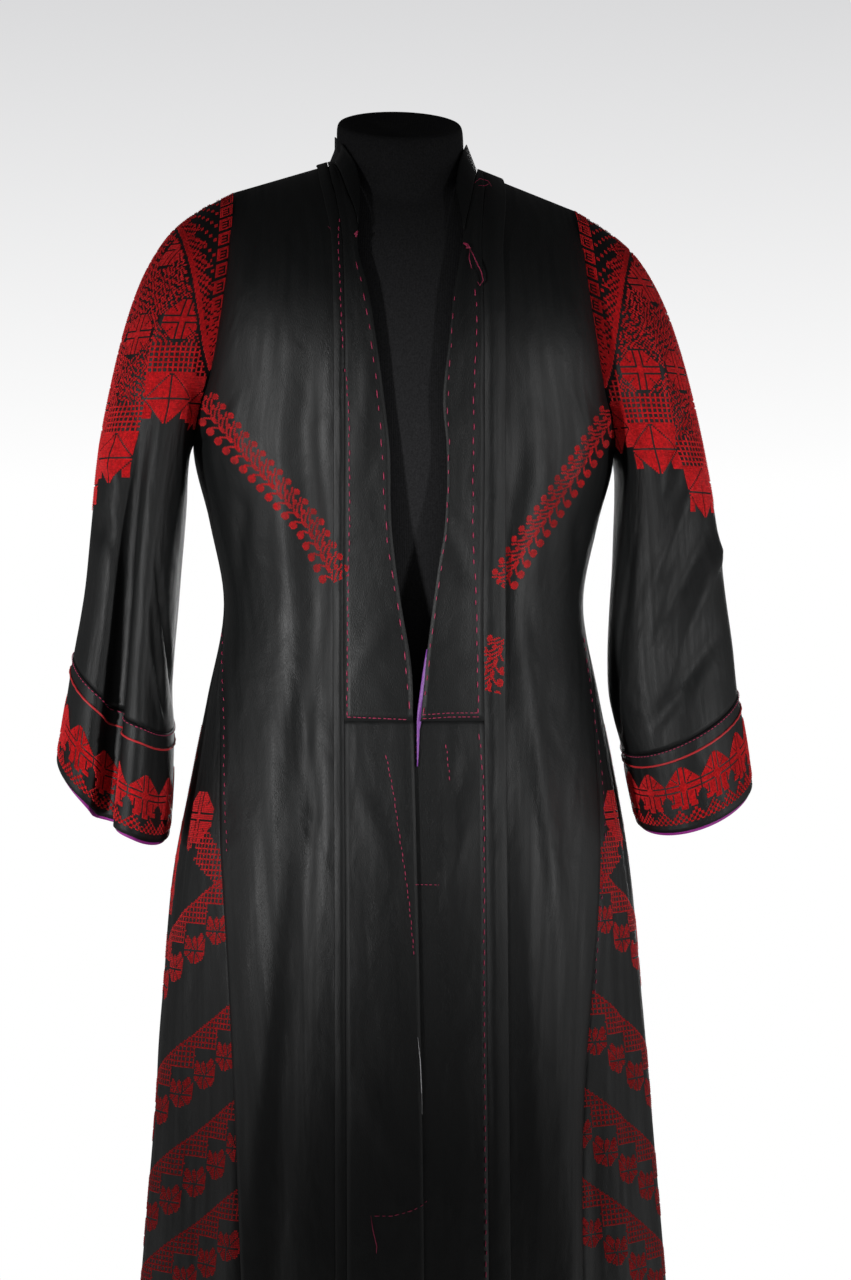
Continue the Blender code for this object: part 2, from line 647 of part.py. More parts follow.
def add_dress_form(jersey, collection, cutters):
    """Limbless torso of the form, with its neck joined on."""
    columns = 28
    angles = np.arange(columns) * 2 * math.pi / columns
    heights = [FORM_BOTTOM_HEIGHT, 0.760, 0.80, 0.84, 0.88, 0.92, 0.96, 1.0, 1.04, 1.08, 1.12, 1.16, 1.20]
    levels = np.append(heights, np.linspace(YOKE_HEIGHT, form.ridge - 0.006, 9))
    torso = np.array([form.at(np.full(columns, level), angles) for level in levels])
    torso[0, :, :2] *= 0.94
    piece = add_object("dress_form", closed_rings_mesh("dress_form", torso), jersey, collection)
    neck_rows = []
    middle = np.array([0.0, -0.004])
    for height, radius, tilted in ((1.280, 0.066, 0.0), (1.340, 0.0640, 0.0), (1.385, 0.0600, 0.2),
                                   (1.415, NECK_RADIUS, 0.5), (1.435, NECK_RADIUS, 0.9),
                                   (1.449, NECK_RADIUS, 1.0), (NECK_TOP_HEIGHT, NECK_RADIUS - 0.003, 1.0),
                                   (NECK_TOP_HEIGHT - NECK_DISH, NECK_RADIUS - 0.016, 1.0)):
        x = middle[0] - 0.004 * (height - 1.28) / 0.17 + radius * np.sin(angles)
        y = middle[1] - radius * np.cos(angles)
        z = height + tilted * (y - middle[1]) * math.tan(NECK_CAP_TILT)
        neck_rows.append(np.stack([x, y, z], axis=-1))
    neck = add_object("neck_cutter", closed_rings_mesh("neck_cutter", np.array(neck_rows)), jersey, cutters)
    neck.hide_render = True
    neck.display_type = "WIRE"
    join = piece.modifiers.new("neck joined to torso", "BOOLEAN")
    join.operation = "UNION"
    join.object = neck


def add_turned(name, profile, material, collection, steps=32):
    """Turned piece: a profile of radius and height, from the top down, swept round by Screw."""
    mesh = bpy.data.meshes.new(name)
    vertices = [(radius, 0.0, height) for radius, height in profile]
    mesh.from_pydata(vertices, [(i, i + 1) for i in range(len(profile) - 1)], [])
    piece = add_object(name, mesh, material, collection)
    screw = piece.modifiers.new("turned", "SCREW")
    screw.steps = steps
    screw.render_steps = steps
    screw.use_merge_vertices = True
    screw.merge_threshold = 0.00005
    screw.use_smooth_shade = True
    return piece


def add_stand(metal, collection):
    """Round base that stands on the floor, and the pole that carries the form."""
    top = BASE_THICKNESS
    add_turned("stand_base", [(0.0, top), (0.020, top), (BASE_RADIUS - 0.020, top),
                              (BASE_RADIUS - 0.004, top - 0.003), (BASE_RADIUS, top - 0.008),
                              (BASE_RADIUS, 0.0015), (BASE_RADIUS - 0.0015, 0.0), (0.0, 0.0)],
               metal, collection, steps=48)
    foot = top + SEAM_GAP
    head = FORM_BOTTOM_HEIGHT - SEAM_GAP
    add_turned("stand_pole", [(0.0, head), (0.040, head), (0.040, head - 0.006), (0.018, head - 0.010),
                              (0.018, head - 0.050), (POLE_RADIUS, head - 0.052),
                              (POLE_RADIUS, foot + 0.030), (0.024, foot + 0.024), (0.030, foot),
                              (0.0, foot)],
               metal, collection)


def build():
    for old in list(bpy.data.objects):
        bpy.data.objects.remove(old, do_unlink=True)
    collection = bpy.data.collections.new("thobe_on_form")
    bpy.context.scene.collection.children.link(collection)
    cutters = bpy.data.collections.new("cutters")
    bpy.context.scene.collection.children.link(cutters)

    satin = make_material("black_satin", (0.012, 0.013, 0.013), 0.42)
    magenta = make_material("magenta_facing", (0.30, 0.02, 0.28), 0.45)
    purple = make_material("purple_lining", (0.20, 0.05, 0.32), 0.45)
    jersey = make_material("black_jersey", (0.010, 0.010, 0.011), 0.90)
    metal = make_material("painted_metal", (0.03, 0.03, 0.032), 0.35, 0.0)

    for pleat in PLEATS:
        add_front_panel(pleat, satin, collection)
    add_back_panel(satin, collection)
    for side in ("left", "right"):
        add_side_gore(side, satin, collection)
        add_upper_band(side, satin, collection)
        add_lower_band(side, satin, collection)
        add_sleeve(side, satin, magenta, collection)
    add_opening_facing(purple, collection)
    add_neck_band(satin, collection)
    add_dress_form(jersey, collection, cutters)
    add_stand(metal, collection)


build()
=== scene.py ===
"""Palestinian thobe on a limbless dress form: how every piece looks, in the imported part's frame.

Metres, +Z up. The front faces -Y and the wearer's left is at +X, as in the solids.
"""
import math
from collections import namedtuple

import bmesh
import bpy
import numpy as np
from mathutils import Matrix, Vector
from mathutils.bvhtree import BVHTree


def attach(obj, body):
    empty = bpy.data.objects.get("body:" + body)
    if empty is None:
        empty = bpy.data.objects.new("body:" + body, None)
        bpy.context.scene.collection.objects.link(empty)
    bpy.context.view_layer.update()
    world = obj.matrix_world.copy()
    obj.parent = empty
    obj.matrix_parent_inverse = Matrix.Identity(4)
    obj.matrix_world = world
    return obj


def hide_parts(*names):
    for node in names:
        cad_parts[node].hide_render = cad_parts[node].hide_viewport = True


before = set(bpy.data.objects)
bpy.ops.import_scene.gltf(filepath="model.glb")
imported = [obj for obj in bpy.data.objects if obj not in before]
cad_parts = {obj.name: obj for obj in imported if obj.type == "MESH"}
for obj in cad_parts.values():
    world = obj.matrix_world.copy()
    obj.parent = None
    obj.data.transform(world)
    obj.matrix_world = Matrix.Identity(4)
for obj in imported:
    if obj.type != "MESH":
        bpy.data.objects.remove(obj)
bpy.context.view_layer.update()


# Camera: level with the waist, a little round to the wearer's right, as the photograph was taken.
CAMERA_AZIMUTH = math.radians(-4.5)
CAMERA_AIM = Vector((0.020, 0.0, 0.983))
CAMERA_DISTANCE = 3.2
CAMERA_LENS = 97.8          # mm


def placed(name, data):
    """New object in the scene for a camera, lamp or mesh."""
    thing = bpy.data.objects.new(name, data)
    bpy.context.scene.collection.objects.link(thing)
    return thing


back = Vector((math.sin(CAMERA_AZIMUTH), -math.cos(CAMERA_AZIMUTH), 0.0))
camera = placed("camera", bpy.data.cameras.new("camera"))
camera.data.lens = CAMERA_LENS
camera.location = CAMERA_AIM + back * CAMERA_DISTANCE
camera.rotation_euler = (-back).to_track_quat("-Z", "Y").to_euler()
bpy.context.scene.camera = camera
bpy.context.scene.view_settings.view_transform = "Standard"


# Studio: a pale lit floor, a pale surround that greys towards the top, two soft spots that light the
# waist more than the hem, and broad low lights at the sides and behind.
FLOOR_HALF, FLOOR_DROP = 2.0, 0.0005
FLOOR_GLOW, SURROUND_GLOW = 0.36, 0.13      # how strongly the floor and the unseen surround shine
SPOT_ANGLE = math.radians(15.5)


def add_node(tree, kind, inputs=None, **settings):
    """New node in a tree, with its settings and its inputs, each a value or a socket to link."""
    node = tree.nodes.new(kind)
    for name, value in settings.items():
        setattr(node, name, value)
    for key, value in (inputs or {}).items():
        if isinstance(value, bpy.types.NodeSocket):
            tree.links.new(value, node.inputs[key])
        else:
            node.inputs[key].default_value = value
    return node


def add_ramp(tree, factor, stops):
    """Colour ramp from a factor through (position, colour) stops."""
    ramp = add_node(tree, "ShaderNodeValToRGB", {"Fac": factor})
    elements = ramp.color_ramp.elements
    while len(elements) < len(stops):
        elements.new(0.5)
    for element, (position, colour) in zip(elements, stops):
        element.position = position
        element.color = (*colour, 1.0)
    return ramp.outputs["Color"]


def new_material(name, colour, roughness, **others):
    """Principled material; others are its further inputs, with _ for a space."""
    material = bpy.data.materials.new(name)
    material.use_nodes = True
    shader = material.node_tree.nodes["Principled BSDF"]
    shader.inputs["Base Color"].default_value = (*colour, 1.0)
    shader.inputs["Roughness"].default_value = roughness
    for key, value in others.items():
        shader.inputs[key.replace("_", " ")].default_value = value
    return material, material.node_tree, shader


world = bpy.data.worlds.new("studio")
world.use_nodes = True
bpy.context.scene.world = world
tree = world.node_tree
where = add_node(tree, "ShaderNodeTexCoord")
split = add_node(tree, "ShaderNodeSeparateXYZ", {"Vector": where.outputs["Generated"]})
shade = add_ramp(tree, split.outputs["Z"], [(0.045, (1.0, 1.0, 1.0)), (0.20, (0.66, 0.66, 0.67)),
                                            (0.60, (0.50, 0.50, 0.51))])
tree.links.new(shade, tree.nodes["Background"].inputs["Color"])
seen = add_node(tree, "ShaderNodeLightPath").outputs["Is Camera Ray"]
strength = add_node(tree, "ShaderNodeMapRange", {"Value": seen, "To Min": SURROUND_GLOW, "To Max": 1.0})
tree.links.new(strength.outputs["Result"], tree.nodes["Background"].inputs["Strength"])

floor_mesh = bpy.data.meshes.new("floor")
floor_mesh.from_pydata([(x * FLOOR_HALF, y * FLOOR_HALF, -FLOOR_DROP)
                        for x, y in ((-1, -1), (1, -1), (1, 1), (-1, 1))], [], [(0, 1, 2, 3)])
floor = placed("floor", floor_mesh)
paper, _, _ = new_material("pale_floor", (0.85, 0.85, 0.85), 0.9, Emission_Color=(1.0, 1.0, 1.0, 1.0),
                           Emission_Strength=FLOOR_GLOW)
floor_mesh.materials.append(paper)

SoftLight = namedtuple("SoftLight", "kind place aim size watts")
for number, light in enumerate([
        SoftLight("SPOT", (-2.5, -2.3, 1.12), (0.0, 0.0, 0.99), 0.16, 455),
        SoftLight("SPOT", (2.6, -2.1, 1.12), (0.0, 0.0, 0.99), 0.16, 255),
        SoftLight("AREA", (-2.9, 0.1, 0.6), (0.0, 0.0, 0.6), 1.2, 7),
        SoftLight("AREA", (2.9, -0.1, 0.6), (0.0, 0.0, 0.6), 1.2, 9),
        SoftLight("AREA", (0.6, 2.7, 1.15), (0.0, 0.0, 0.8), 1.6, 36)]):
    lamp = bpy.data.lights.new(f"soft_light_{number}", light.kind)
    if light.kind == "SPOT":
        lamp.spot_size, lamp.spot_blend = SPOT_ANGLE, 1.0
        lamp.shadow_soft_size = light.size
    else:
        lamp.size = light.size
    lamp.energy = light.watts
    holder = placed(lamp.name, lamp)
    holder.location = light.place
    toward = Vector(light.aim) - Vector(light.place)
    holder.rotation_euler = toward.to_track_quat("-Z", "Y").to_euler()


# Stand: the solid pole and base keep their shape and get satin black paint.
def add_bump(tree, shader, height, strength, distance, under=None):
    """Bump from a height, on top of the normal under it, into a shader where one is given."""
    inputs = {"Strength": strength, "Distance": distance, "Height": height}
    bump = add_node(tree, "ShaderNodeBump", {**inputs, "Normal": under} if under else inputs)
    if shader:
        tree.links.new(bump.outputs["Normal"], shader.inputs["Normal"])
    return bump.outputs["Normal"]


paint, tree, shader = new_material("painted_stand", (0.012, 0.012, 0.013), 0.36, Coat_Weight=0.15)
grain = add_node(tree, "ShaderNodeTexNoise", {"Scale": 900.0, "Detail": 2.0})
add_bump(tree, shader, grain.outputs["Fac"], 0.15, 0.0003)
for name in ("stand_pole", "stand_base"):
    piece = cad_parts[name]
    piece.data.materials.clear()
    piece.data.materials.append(paint)


# Body surface: the sections, seams and folds that every panel of the dress lies on, as in the solids.
CLOTH = 0.0012              # wall of the solid cloth, whose layers this one follows
SEAM_GAP = 0.0004
LAYER = CLOTH + SEAM_GAP
HEM_HEIGHT = 0.035
WAIST_SEAM_HEIGHT = 0.911
UNDERARM_HEIGHT = 1.160
YOKE_HEIGHT = 1.220
RIDGE_HEIGHT = 1.416
RIDGE_CLEARANCE = 0.0006
YOKE_ROUNDNESS = 1.15
ARMHOLE_HALF_DEPTH = 0.062
ARMHOLE_MIDDLE, ARMHOLE_REACH = (UNDERARM_HEIGHT + RIDGE_HEIGHT) / 2, (RIDGE_HEIGHT - UNDERARM_HEIGHT) / 2
SHOULDER_SLOPE = 0.34
NECK_HOLE_RADIUS = 0.0675
LEAN_PER_METRE = 0.042
LEAN_FROM, LEAN_FULL = 1.00, 1.30           # heights between which the shoulders start to tilt
METRES_PER_DEGREE = 0.0033  # round the body, for the creases
SHELL = 0.0008              # wall of the cloth shells here
ROW_STEP = 0.009            # height of a row of their mesh below the arms
ARMHOLE_ROWS = 46

Section = namedtuple("Section", "height half_width front_depth back_depth")
BODY_SECTIONS = [
    Section(0.035, 0.264, 0.205, 0.215),
    Section(0.250, 0.248, 0.190, 0.200),
    Section(0.500, 0.230, 0.172, 0.181),
    Section(0.652, 0.219, 0.160, 0.168),
    Section(0.790, 0.206, 0.150, 0.156),
    Section(0.870, 0.192, 0.142, 0.146),
    Section(0.930, 0.180, 0.134, 0.132),
    Section(1.020, 0.165, 0.128, 0.113),
    Section(1.090, 0.178, 0.134, 0.115),
    Section(1.160, 0.193, 0.139, 0.120),
    Section(1.220, 0.179, 0.137, 0.122),
    Section(1.280, 0.170, 0.137, 0.122),
    Section(1.340, 0.163, 0.137, 0.122),
    Section(1.416, 0.158, 0.137, 0.122),
]
FORM_SECTIONS = [
    Section(0.740, 0.140, 0.100, 0.108),
    Section(0.800, 0.158, 0.112, 0.124),
    Section(0.880, 0.154, 0.112, 0.120),
    Section(0.960, 0.136, 0.106, 0.101),
    Section(1.020, 0.128, 0.106, 0.096),
    Section(1.090, 0.138, 0.117, 0.101),
    Section(1.160, 0.152, 0.129, 0.108),
    Section(1.220, 0.160, 0.127, 0.108),
    Section(1.340, 0.154, 0.124, 0.104),
    Section(1.416, 0.136, 0.120, 0.100),
]
Seam = namedtuple("Seam", "height degrees")
GORE_SEAM = [Seam(0.035, 33.0), Seam(0.399, 39.0), Seam(0.560, 43.5), Seam(0.664, 48.5), Seam(0.790, 56.5),
             Seam(0.909, 67.5), Seam(0.974, 79.0), Seam(1.040, 88.6), Seam(1.070, 90.0), Seam(1.416, 90.0)]
Fold = namedtuple("Fold", "degrees width depth top full")
BODY_FOLDS = [
    Fold(-56, 7, -0.006, 0.98, 0.50), Fold(-41, 6, 0.006, 1.02, 0.45), Fold(-33, 4, -0.005, 1.30, 1.10),
    Fold(34, 5, 0.005, 1.28, 1.05), Fold(45, 6, -0.006, 0.98, 0.45), Fold(-78, 9, 0.008, 0.86, 0.30),
    Fold(-101, 8, -0.009, 0.88, 0.30), Fold(74, 8, 0.007, 0.86, 0.30), Fold(96, 9, -0.009, 0.90, 0.30),
    Fold(-124, 9, 0.012, 0.98, 0.35), Fold(-146, 9, -0.011, 1.00, 0.35), Fold(-166, 8, 0.011, 1.02, 0.40),
    Fold(122, 8, 0.011, 0.96, 0.35), Fold(143, 9, -0.012, 1.00, 0.35), Fold(164, 9, 0.010, 1.00, 0.40),
]
# A crease runs from one place to another, soft at both ends; a positive depth is a ridge.
Crease = namedtuple("Crease", "u0 v0 u1 v1 width depth")


def body_creases(rows):
    """Creases on the body, whose places across are given in degrees round from the front."""
    return [Crease(start * METRES_PER_DEGREE, low, end * METRES_PER_DEGREE, high, width, depth)
            for start, low, end, high, width, depth in rows]


def smoothstep(low, high, value):
    """Ease from 0 at low to 1 at high."""
    t = np.clip((np.asarray(value, float) - low) / (high - low), 0.0, 1.0)
    return t * t * (3.0 - 2.0 * t)


def curve_through(keys, values):
    """Smooth curve through a table's points, as a function of the key."""
    keys, values = np.array(keys, float), np.array(values, float)
    slopes = np.gradient(values, keys)

    def at(key):
        key = np.clip(key, keys[0], keys[-1])
        i = np.clip(np.searchsorted(keys, key, side="right") - 1, 0, len(keys) - 2)
        step = keys[i + 1] - keys[i]
        t = (key - keys[i]) / step
        start = (1 + 2 * t) * (1 - t) ** 2 * values[i] + t * (1 - t) ** 2 * step * slopes[i]
        end = t * t * (3 - 2 * t) * values[i + 1] + t * t * (t - 1) * step * slopes[i + 1]
        return start + end

    return at


def column(rows, name):
    """Smooth curve of one named column of a table over its height."""
    return curve_through([row.height for row in rows], [getattr(row, name) for row in rows])


def level_of(height, ridge=RIDGE_HEIGHT):
    """Level of a nominal height: even steps of level are even steps round the shoulder's curve."""
    rise = ridge - YOKE_HEIGHT
    share = np.clip((np.asarray(height, float) - YOKE_HEIGHT) / rise, 0.0, 1.0)
    return np.where(height <= YOKE_HEIGHT, height, YOKE_HEIGHT + rise * np.arcsin(share) * 2 / math.pi)


def height_of(level, ridge=RIDGE_HEIGHT):
    """Nominal height of a level, the inverse of level_of."""
    rise = ridge - YOKE_HEIGHT
    turn = np.clip((np.asarray(level, float) - YOKE_HEIGHT) / rise, 0.0, 1.0) * math.pi / 2
    return np.where(level <= YOKE_HEIGHT, level, YOKE_HEIGHT + rise * np.sin(turn))


def shoulder_drop(x, height):
    """How far a point hangs below its nominal height because the shoulders slope."""
    out = np.clip(np.abs(x) - NECK_HOLE_RADIUS, 0.0, None)
    return SHOULDER_SLOPE * out * smoothstep(UNDERARM_HEIGHT, RIDGE_HEIGHT, height)


def lean(points):
    """Tilt the shoulders: the wearer's left one is lower."""
    points = np.array(points, float)
    points[..., 2] -= LEAN_PER_METRE * points[..., 0] * smoothstep(LEAN_FROM, LEAN_FULL, points[..., 2])
    return points


def creased(u, v, creases):
    """Outward push of the listed creases at u across and v up."""
    push = np.zeros(np.broadcast(u, v).shape)
    for crease in creases:
        du, dv = crease.u1 - crease.u0, crease.v1 - crease.v0
        length = math.hypot(du, dv)
        along = ((u - crease.u0) * du + (v - crease.v0) * dv) / length ** 2
        away = ((u - crease.u0) * dv - (v - crease.v0) * du) / length
        ends = smoothstep(-0.05, 0.30, along) * (1.0 - smoothstep(0.65, 1.05, along))
        push = push + crease.depth * np.exp(-(away / crease.width) ** 2) * ends
    return push


class Torso:
    """A body of sections: a point on it is found from a level and an angle round from the front."""

    def __init__(self, sections, ridge, is_dress):
        self.half_width = column(sections, "half_width")
        self.front_depth = column(sections, "front_depth")
        self.back_depth = column(sections, "back_depth")
        self.ridge = ridge
        self.is_dress = is_dress

    def unleaned(self, level, angle):
        level, angle = np.broadcast_arrays(np.asarray(level, float), np.asarray(angle, float))
        height = height_of(level, self.ridge)
        width = self.half_width(height)
        depth = np.where(np.cos(angle) >= 0, self.front_depth(height), self.back_depth(height))
        turn = np.clip((level - YOKE_HEIGHT) / (self.ridge - YOKE_HEIGHT), 0.0, 1.0) * math.pi / 2
        depth = depth * np.clip(np.cos(turn), 0.0, 1.0) ** YOKE_ROUNDNESS
        edge = np.zeros_like(width)
        push = np.zeros_like(width)
        if self.is_dress:
            inside = np.clip(1.0 - ((height - ARMHOLE_MIDDLE) / ARMHOLE_REACH) ** 2, 0.0, None)
            inside = inside ** (0.5 + 1.2 * np.abs(np.cos(angle)))
            edge = np.minimum(ARMHOLE_HALF_DEPTH * inside, depth)
            for fold in BODY_FOLDS:
                away = (np.degrees(angle) - fold.degrees + 180.0) % 360.0 - 180.0
                fade = 1.0 - smoothstep(fold.full, fold.top, height)
                push = push + fold.depth * np.exp(-(away / fold.width) ** 2) * fade
        x = (width + push) * np.sin(angle)
        y = -np.sign(np.cos(angle)) * (edge + (depth - edge) * np.abs(np.cos(angle))) - push * np.cos(angle)
        return np.stack([x, y, height - shoulder_drop(x, height)], axis=-1)

    def at(self, level, angle, outward=0.0):
        """Points on the body, moved outward along its normals."""
        step = 0.0005
        top = np.minimum(level + step, self.ridge)
        up = self.unleaned(top, angle) - self.unleaned(top - 2 * step, angle)
        round_ = self.unleaned(level, angle + step) - self.unleaned(level, angle - step)
        normal = np.cross(round_, up)
        length = np.linalg.norm(normal, axis=-1, keepdims=True)
        normal = normal / np.where(length > 0, length, 1.0)
        return lean(self.unleaned(level, angle) + normal * np.asarray(outward)[..., None])

    def angle_at(self, level, x):
        """Angle on the front where the body is x from its middle."""
        return np.arcsin(np.clip(x / self.half_width(height_of(level, self.ridge)), -1.0, 1.0))


body = Torso(BODY_SECTIONS, RIDGE_HEIGHT, is_dress=True)
gore_degrees = column(GORE_SEAM, "degrees")


def seam_angle(height):
    """Angle of the seam between a front and its gore, or at the side above the gore."""
    return np.radians(np.minimum(gore_degrees(height), 90.0))


# Nominal heights of the rows: even from the hem, then up the armhole, closer together at its two ends.
SKIRT_HEIGHTS = np.arange(HEM_HEIGHT, UNDERARM_HEIGHT - 0.004, ROW_STEP)
ARMHOLE_HEIGHTS = ARMHOLE_MIDDLE + ARMHOLE_REACH * np.cos(np.linspace(math.pi, 0.0, ARMHOLE_ROWS))


def run_of(points):
    """Distance along a line of points to each of them."""
    return np.append(0.0, np.cumsum(np.linalg.norm(np.diff(points, axis=0), axis=1)))


def grid_mesh(name, grid, closed=False):
    """Open surface through a grid of points, with a UV map in metres along its rows and columns."""
    rows, columns = grid.shape[:2]
    wrapped = np.concatenate([grid, grid[:, :1]], axis=1) if closed else grid
    across = np.linalg.norm(np.diff(wrapped, axis=1), axis=2).mean(axis=0)
    upward = np.linalg.norm(np.diff(grid, axis=0), axis=2).mean(axis=1)
    u, v = np.append(0.0, np.cumsum(across)), np.append(0.0, np.cumsum(upward))
    row, col = np.meshgrid(np.arange(rows - 1), np.arange(columns if closed else columns - 1), indexing="ij")
    row, col = row.ravel(), col.ravel()
    beside = (col + 1) % columns
    faces = np.stack([row * columns + col, row * columns + beside, (row + 1) * columns + beside,
                      (row + 1) * columns + col], axis=1)
    mesh = bpy.data.meshes.new(name)
    mesh.from_pydata(grid.reshape(-1, 3).tolist(), [], faces.tolist())
    places = np.stack([np.stack([u[col], v[row]], 1), np.stack([u[col + 1], v[row]], 1),
                       np.stack([u[col + 1], v[row + 1]], 1), np.stack([u[col], v[row + 1]], 1)], axis=1)
    mesh.uv_layers.new(name="metres").data.foreach_set("uv", places.ravel())
    mesh.shade_smooth()
    return mesh


def add_piece(name, mesh, material):
    """Put a mesh in the scene as a piece of the garment or the form; thread has no slot of the record's."""
    mesh.materials.append(material)
    piece = placed(name, mesh)
    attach(piece, "root")
    return piece


def add_cloth(name, node, grid, material, slot, closed=False, offset=0.0):
    """Thin shell of cloth that stands for a solid."""
    piece = add_piece(name, grid_mesh(name, grid, closed), material)
    wall = piece.modifiers.new("cloth wall", "SOLIDIFY")
    wall.thickness = SHELL
    wall.offset = offset
    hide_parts(node)
    return piece


# Dress form: a torso with no limbs, in matte black jersey, and a neck with a tilted, dished cap.
FORM_BOTTOM_HEIGHT = 0.740
FORM_RIDGE = RIDGE_HEIGHT - CLOTH / 2 - 2 * SEAM_GAP
NECK_ROWS = [(1.280, 0.066, 0.0), (1.310, 0.0650, 0.0), (1.340, 0.0640, 0.0), (1.365, 0.0620, 0.1),
             (1.385, 0.0600, 0.2), (1.400, 0.0588, 0.35), (1.415, 0.0580, 0.5), (1.435, 0.0580, 0.9),
             (1.440, 0.0560, 1.0), (1.441, 0.0200, 1.0), (1.441, 0.0040, 1.0)]
CAP_ROWS = [(1.4160, 0.0570, 0.52), (1.4210, 0.0580, 0.62), (1.4280, 0.0583, 0.76), (1.4380, 0.0582, 0.93),
            (1.4470, 0.0581, 1.0), (1.4520, 0.0577, 1.0), (1.4555, 0.0567, 1.0), (1.4572, 0.0545, 1.0),
            (1.4560, 0.0515, 1.0), (1.4500, 0.0460, 1.0), (1.4460, 0.0400, 1.0), (1.4450, 0.0200, 1.0),
            (1.4450, 0.0040, 1.0)]
NECK_CAP_TILT = math.radians(20)
NECK_LEAN = 0.004 / 0.17    # to the wearer's right, for each metre up
NECK_FROM, NECK_MIDDLE_Y = 1.28, -0.004
FORM_COLUMNS = 80
JERSEY_DARK, JERSEY_LIGHT = (0.0130, 0.0130, 0.0137), (0.0220, 0.0220, 0.0232)


def shader_group(name, place, *results):
    """Empty shader group with one vector input and named values out, with its two end nodes."""
    group = bpy.data.node_groups.new(name, "ShaderNodeTree")
    group.interface.new_socket(place, in_out="INPUT", socket_type="NodeSocketVector")
    for result in results:
        group.interface.new_socket(result, in_out="OUTPUT", socket_type="NodeSocketFloat")
    return group, add_node(group, "NodeGroupInput"), add_node(group, "NodeGroupOutput")


def jersey_group():
    """Shader group: fine knit rows from a place in metres, as a bump height and a faint fuzz mask."""
    group, given, result = shader_group("jersey_knit", "Place", "Height", "Fuzz")
    rows = add_node(group, "ShaderNodeTexWave", {"Vector": given.outputs["Place"], "Scale": 200.0,
                                                 "Distortion": 1.5, "Detail": 1.0}, bands_direction="X")
    fuzz = add_node(group, "ShaderNodeTexNoise", {"Vector": given.outputs["Place"], "Scale": 600.0,
                                                  "Detail": 3.0})
    group.links.new(rows.outputs["Fac"], result.inputs["Height"])
    group.links.new(fuzz.outputs["Fac"], result.inputs["Fuzz"])
    return group


jersey, tree, shader = new_material("black_jersey", JERSEY_LIGHT, 0.95,
                                    Sheen_Weight=0.008, Sheen_Roughness=0.5, Specular_IOR_Level=0.05)
knit = add_node(tree, "ShaderNodeGroup", node_tree=jersey_group())
tree.links.new(add_node(tree, "ShaderNodeTexCoord").outputs["Object"], knit.inputs["Place"])
add_bump(tree, shader, knit.outputs["Height"], 0.35, 0.0003)
shade = add_ramp(tree, knit.outputs["Fuzz"], [(0.3, JERSEY_DARK), (0.7, JERSEY_LIGHT)])
tree.links.new(shade, shader.inputs["Base Color"])

form = Torso(FORM_SECTIONS, FORM_RIDGE, is_dress=False)
angles = np.arange(FORM_COLUMNS) * 2 * math.pi / FORM_COLUMNS
levels = np.concatenate([[FORM_BOTTOM_HEIGHT, FORM_BOTTOM_HEIGHT + 0.004, FORM_BOTTOM_HEIGHT + 0.012],
                         np.arange(0.765, YOKE_HEIGHT, 0.013),
                         np.linspace(YOKE_HEIGHT, FORM_RIDGE - 0.006, 20)])
rings = np.array([form.at(np.full(FORM_COLUMNS, level), angles) for level in levels])
for row, share in ((0, 0.92), (1, 0.965), (2, 0.99)):
    rings[row, :, :2] *= share


def closed_rings_mesh(name, rings):
    """Solid through a stack of rings, closed by a fan at each end."""
    solid = bmesh.new()
    solid.from_mesh(grid_mesh(name, rings, closed=True))
    bmesh.ops.holes_fill(solid, edges=[edge for edge in solid.edges if edge.is_boundary], sides=0)
    bmesh.ops.recalc_face_normals(solid, faces=solid.faces)
    mesh = bpy.data.meshes.new(name)
    solid.to_mesh(mesh)
    solid.free()
    return mesh


form_piece = add_piece("dress_form_torso", closed_rings_mesh("dress_form_torso", rings), jersey)
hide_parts("dress_form")


def neck_rings(table):
    """Rings up the neck, which leans a little, each tilted by its share of the cap's tilt."""
    rings = []
    for height, radius, tilted in table:
        x = -NECK_LEAN * (height - NECK_FROM) + radius * np.sin(angles)
        y = NECK_MIDDLE_Y - radius * np.cos(angles)
        rise = tilted * (y - NECK_MIDDLE_Y) * math.tan(NECK_CAP_TILT)
        rings.append(np.stack([x, y, height + rise], axis=-1))
    return np.array(rings)


cap_piece = add_piece("dress_form_cap", closed_rings_mesh("dress_form_cap", neck_rings(CAP_ROWS)), jersey)
cap_piece.data.shade_smooth()
cap_piece.modifiers.new("round", "SUBSURF").render_levels = 1
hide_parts("dress_form")
neck_mesh = closed_rings_mesh("neck", neck_rings(NECK_ROWS))
neck_mesh.materials.append(jersey)
neck = placed("neck_cutter", neck_mesh)
neck.hide_render = True
join = form_piece.modifiers.new("neck joined to torso", "BOOLEAN")
join.operation = "UNION"
join.object = neck
skin = form_piece.modifiers.new("one smooth cover", "REMESH")
skin.mode = "VOXEL"
skin.voxel_size = 0.004
skin.use_smooth_shade = True
ease = form_piece.modifiers.new("eased", "SMOOTH")
ease.factor = 0.5
ease.iterations = 10


# Black satin: a smooth cloth whose sheen runs in soft upright streaks, with a fine weave.
def satin_group():
    """Shader group, from UVs in metres: weave and soft puckers as bump heights, and streaks as a mask."""
    group, given, result = shader_group("satin_weave", "UV", "Height", "Streaks", "Puckers")
    for name, across, up, kind in (("Height", 1900, 380, {"Detail": 1.0}),
                                   ("Streaks", 95, 3.5, {"Detail": 3.0, "Roughness": 0.6}),
                                   ("Puckers", 34, 15, {"Detail": 2.5, "Roughness": 0.5, "Distortion": 0.3})):
        stretched = add_node(group, "ShaderNodeMapping", {"Vector": given.outputs["UV"], "Scale": (across, up, 1)})
        noise = add_node(group, "ShaderNodeTexNoise", {"Vector": stretched.outputs["Vector"], "Scale": 1.0,
                                                       **kind})
        group.links.new(noise.outputs["Fac"], result.inputs[name])
    return group


satin_weave = satin_group()


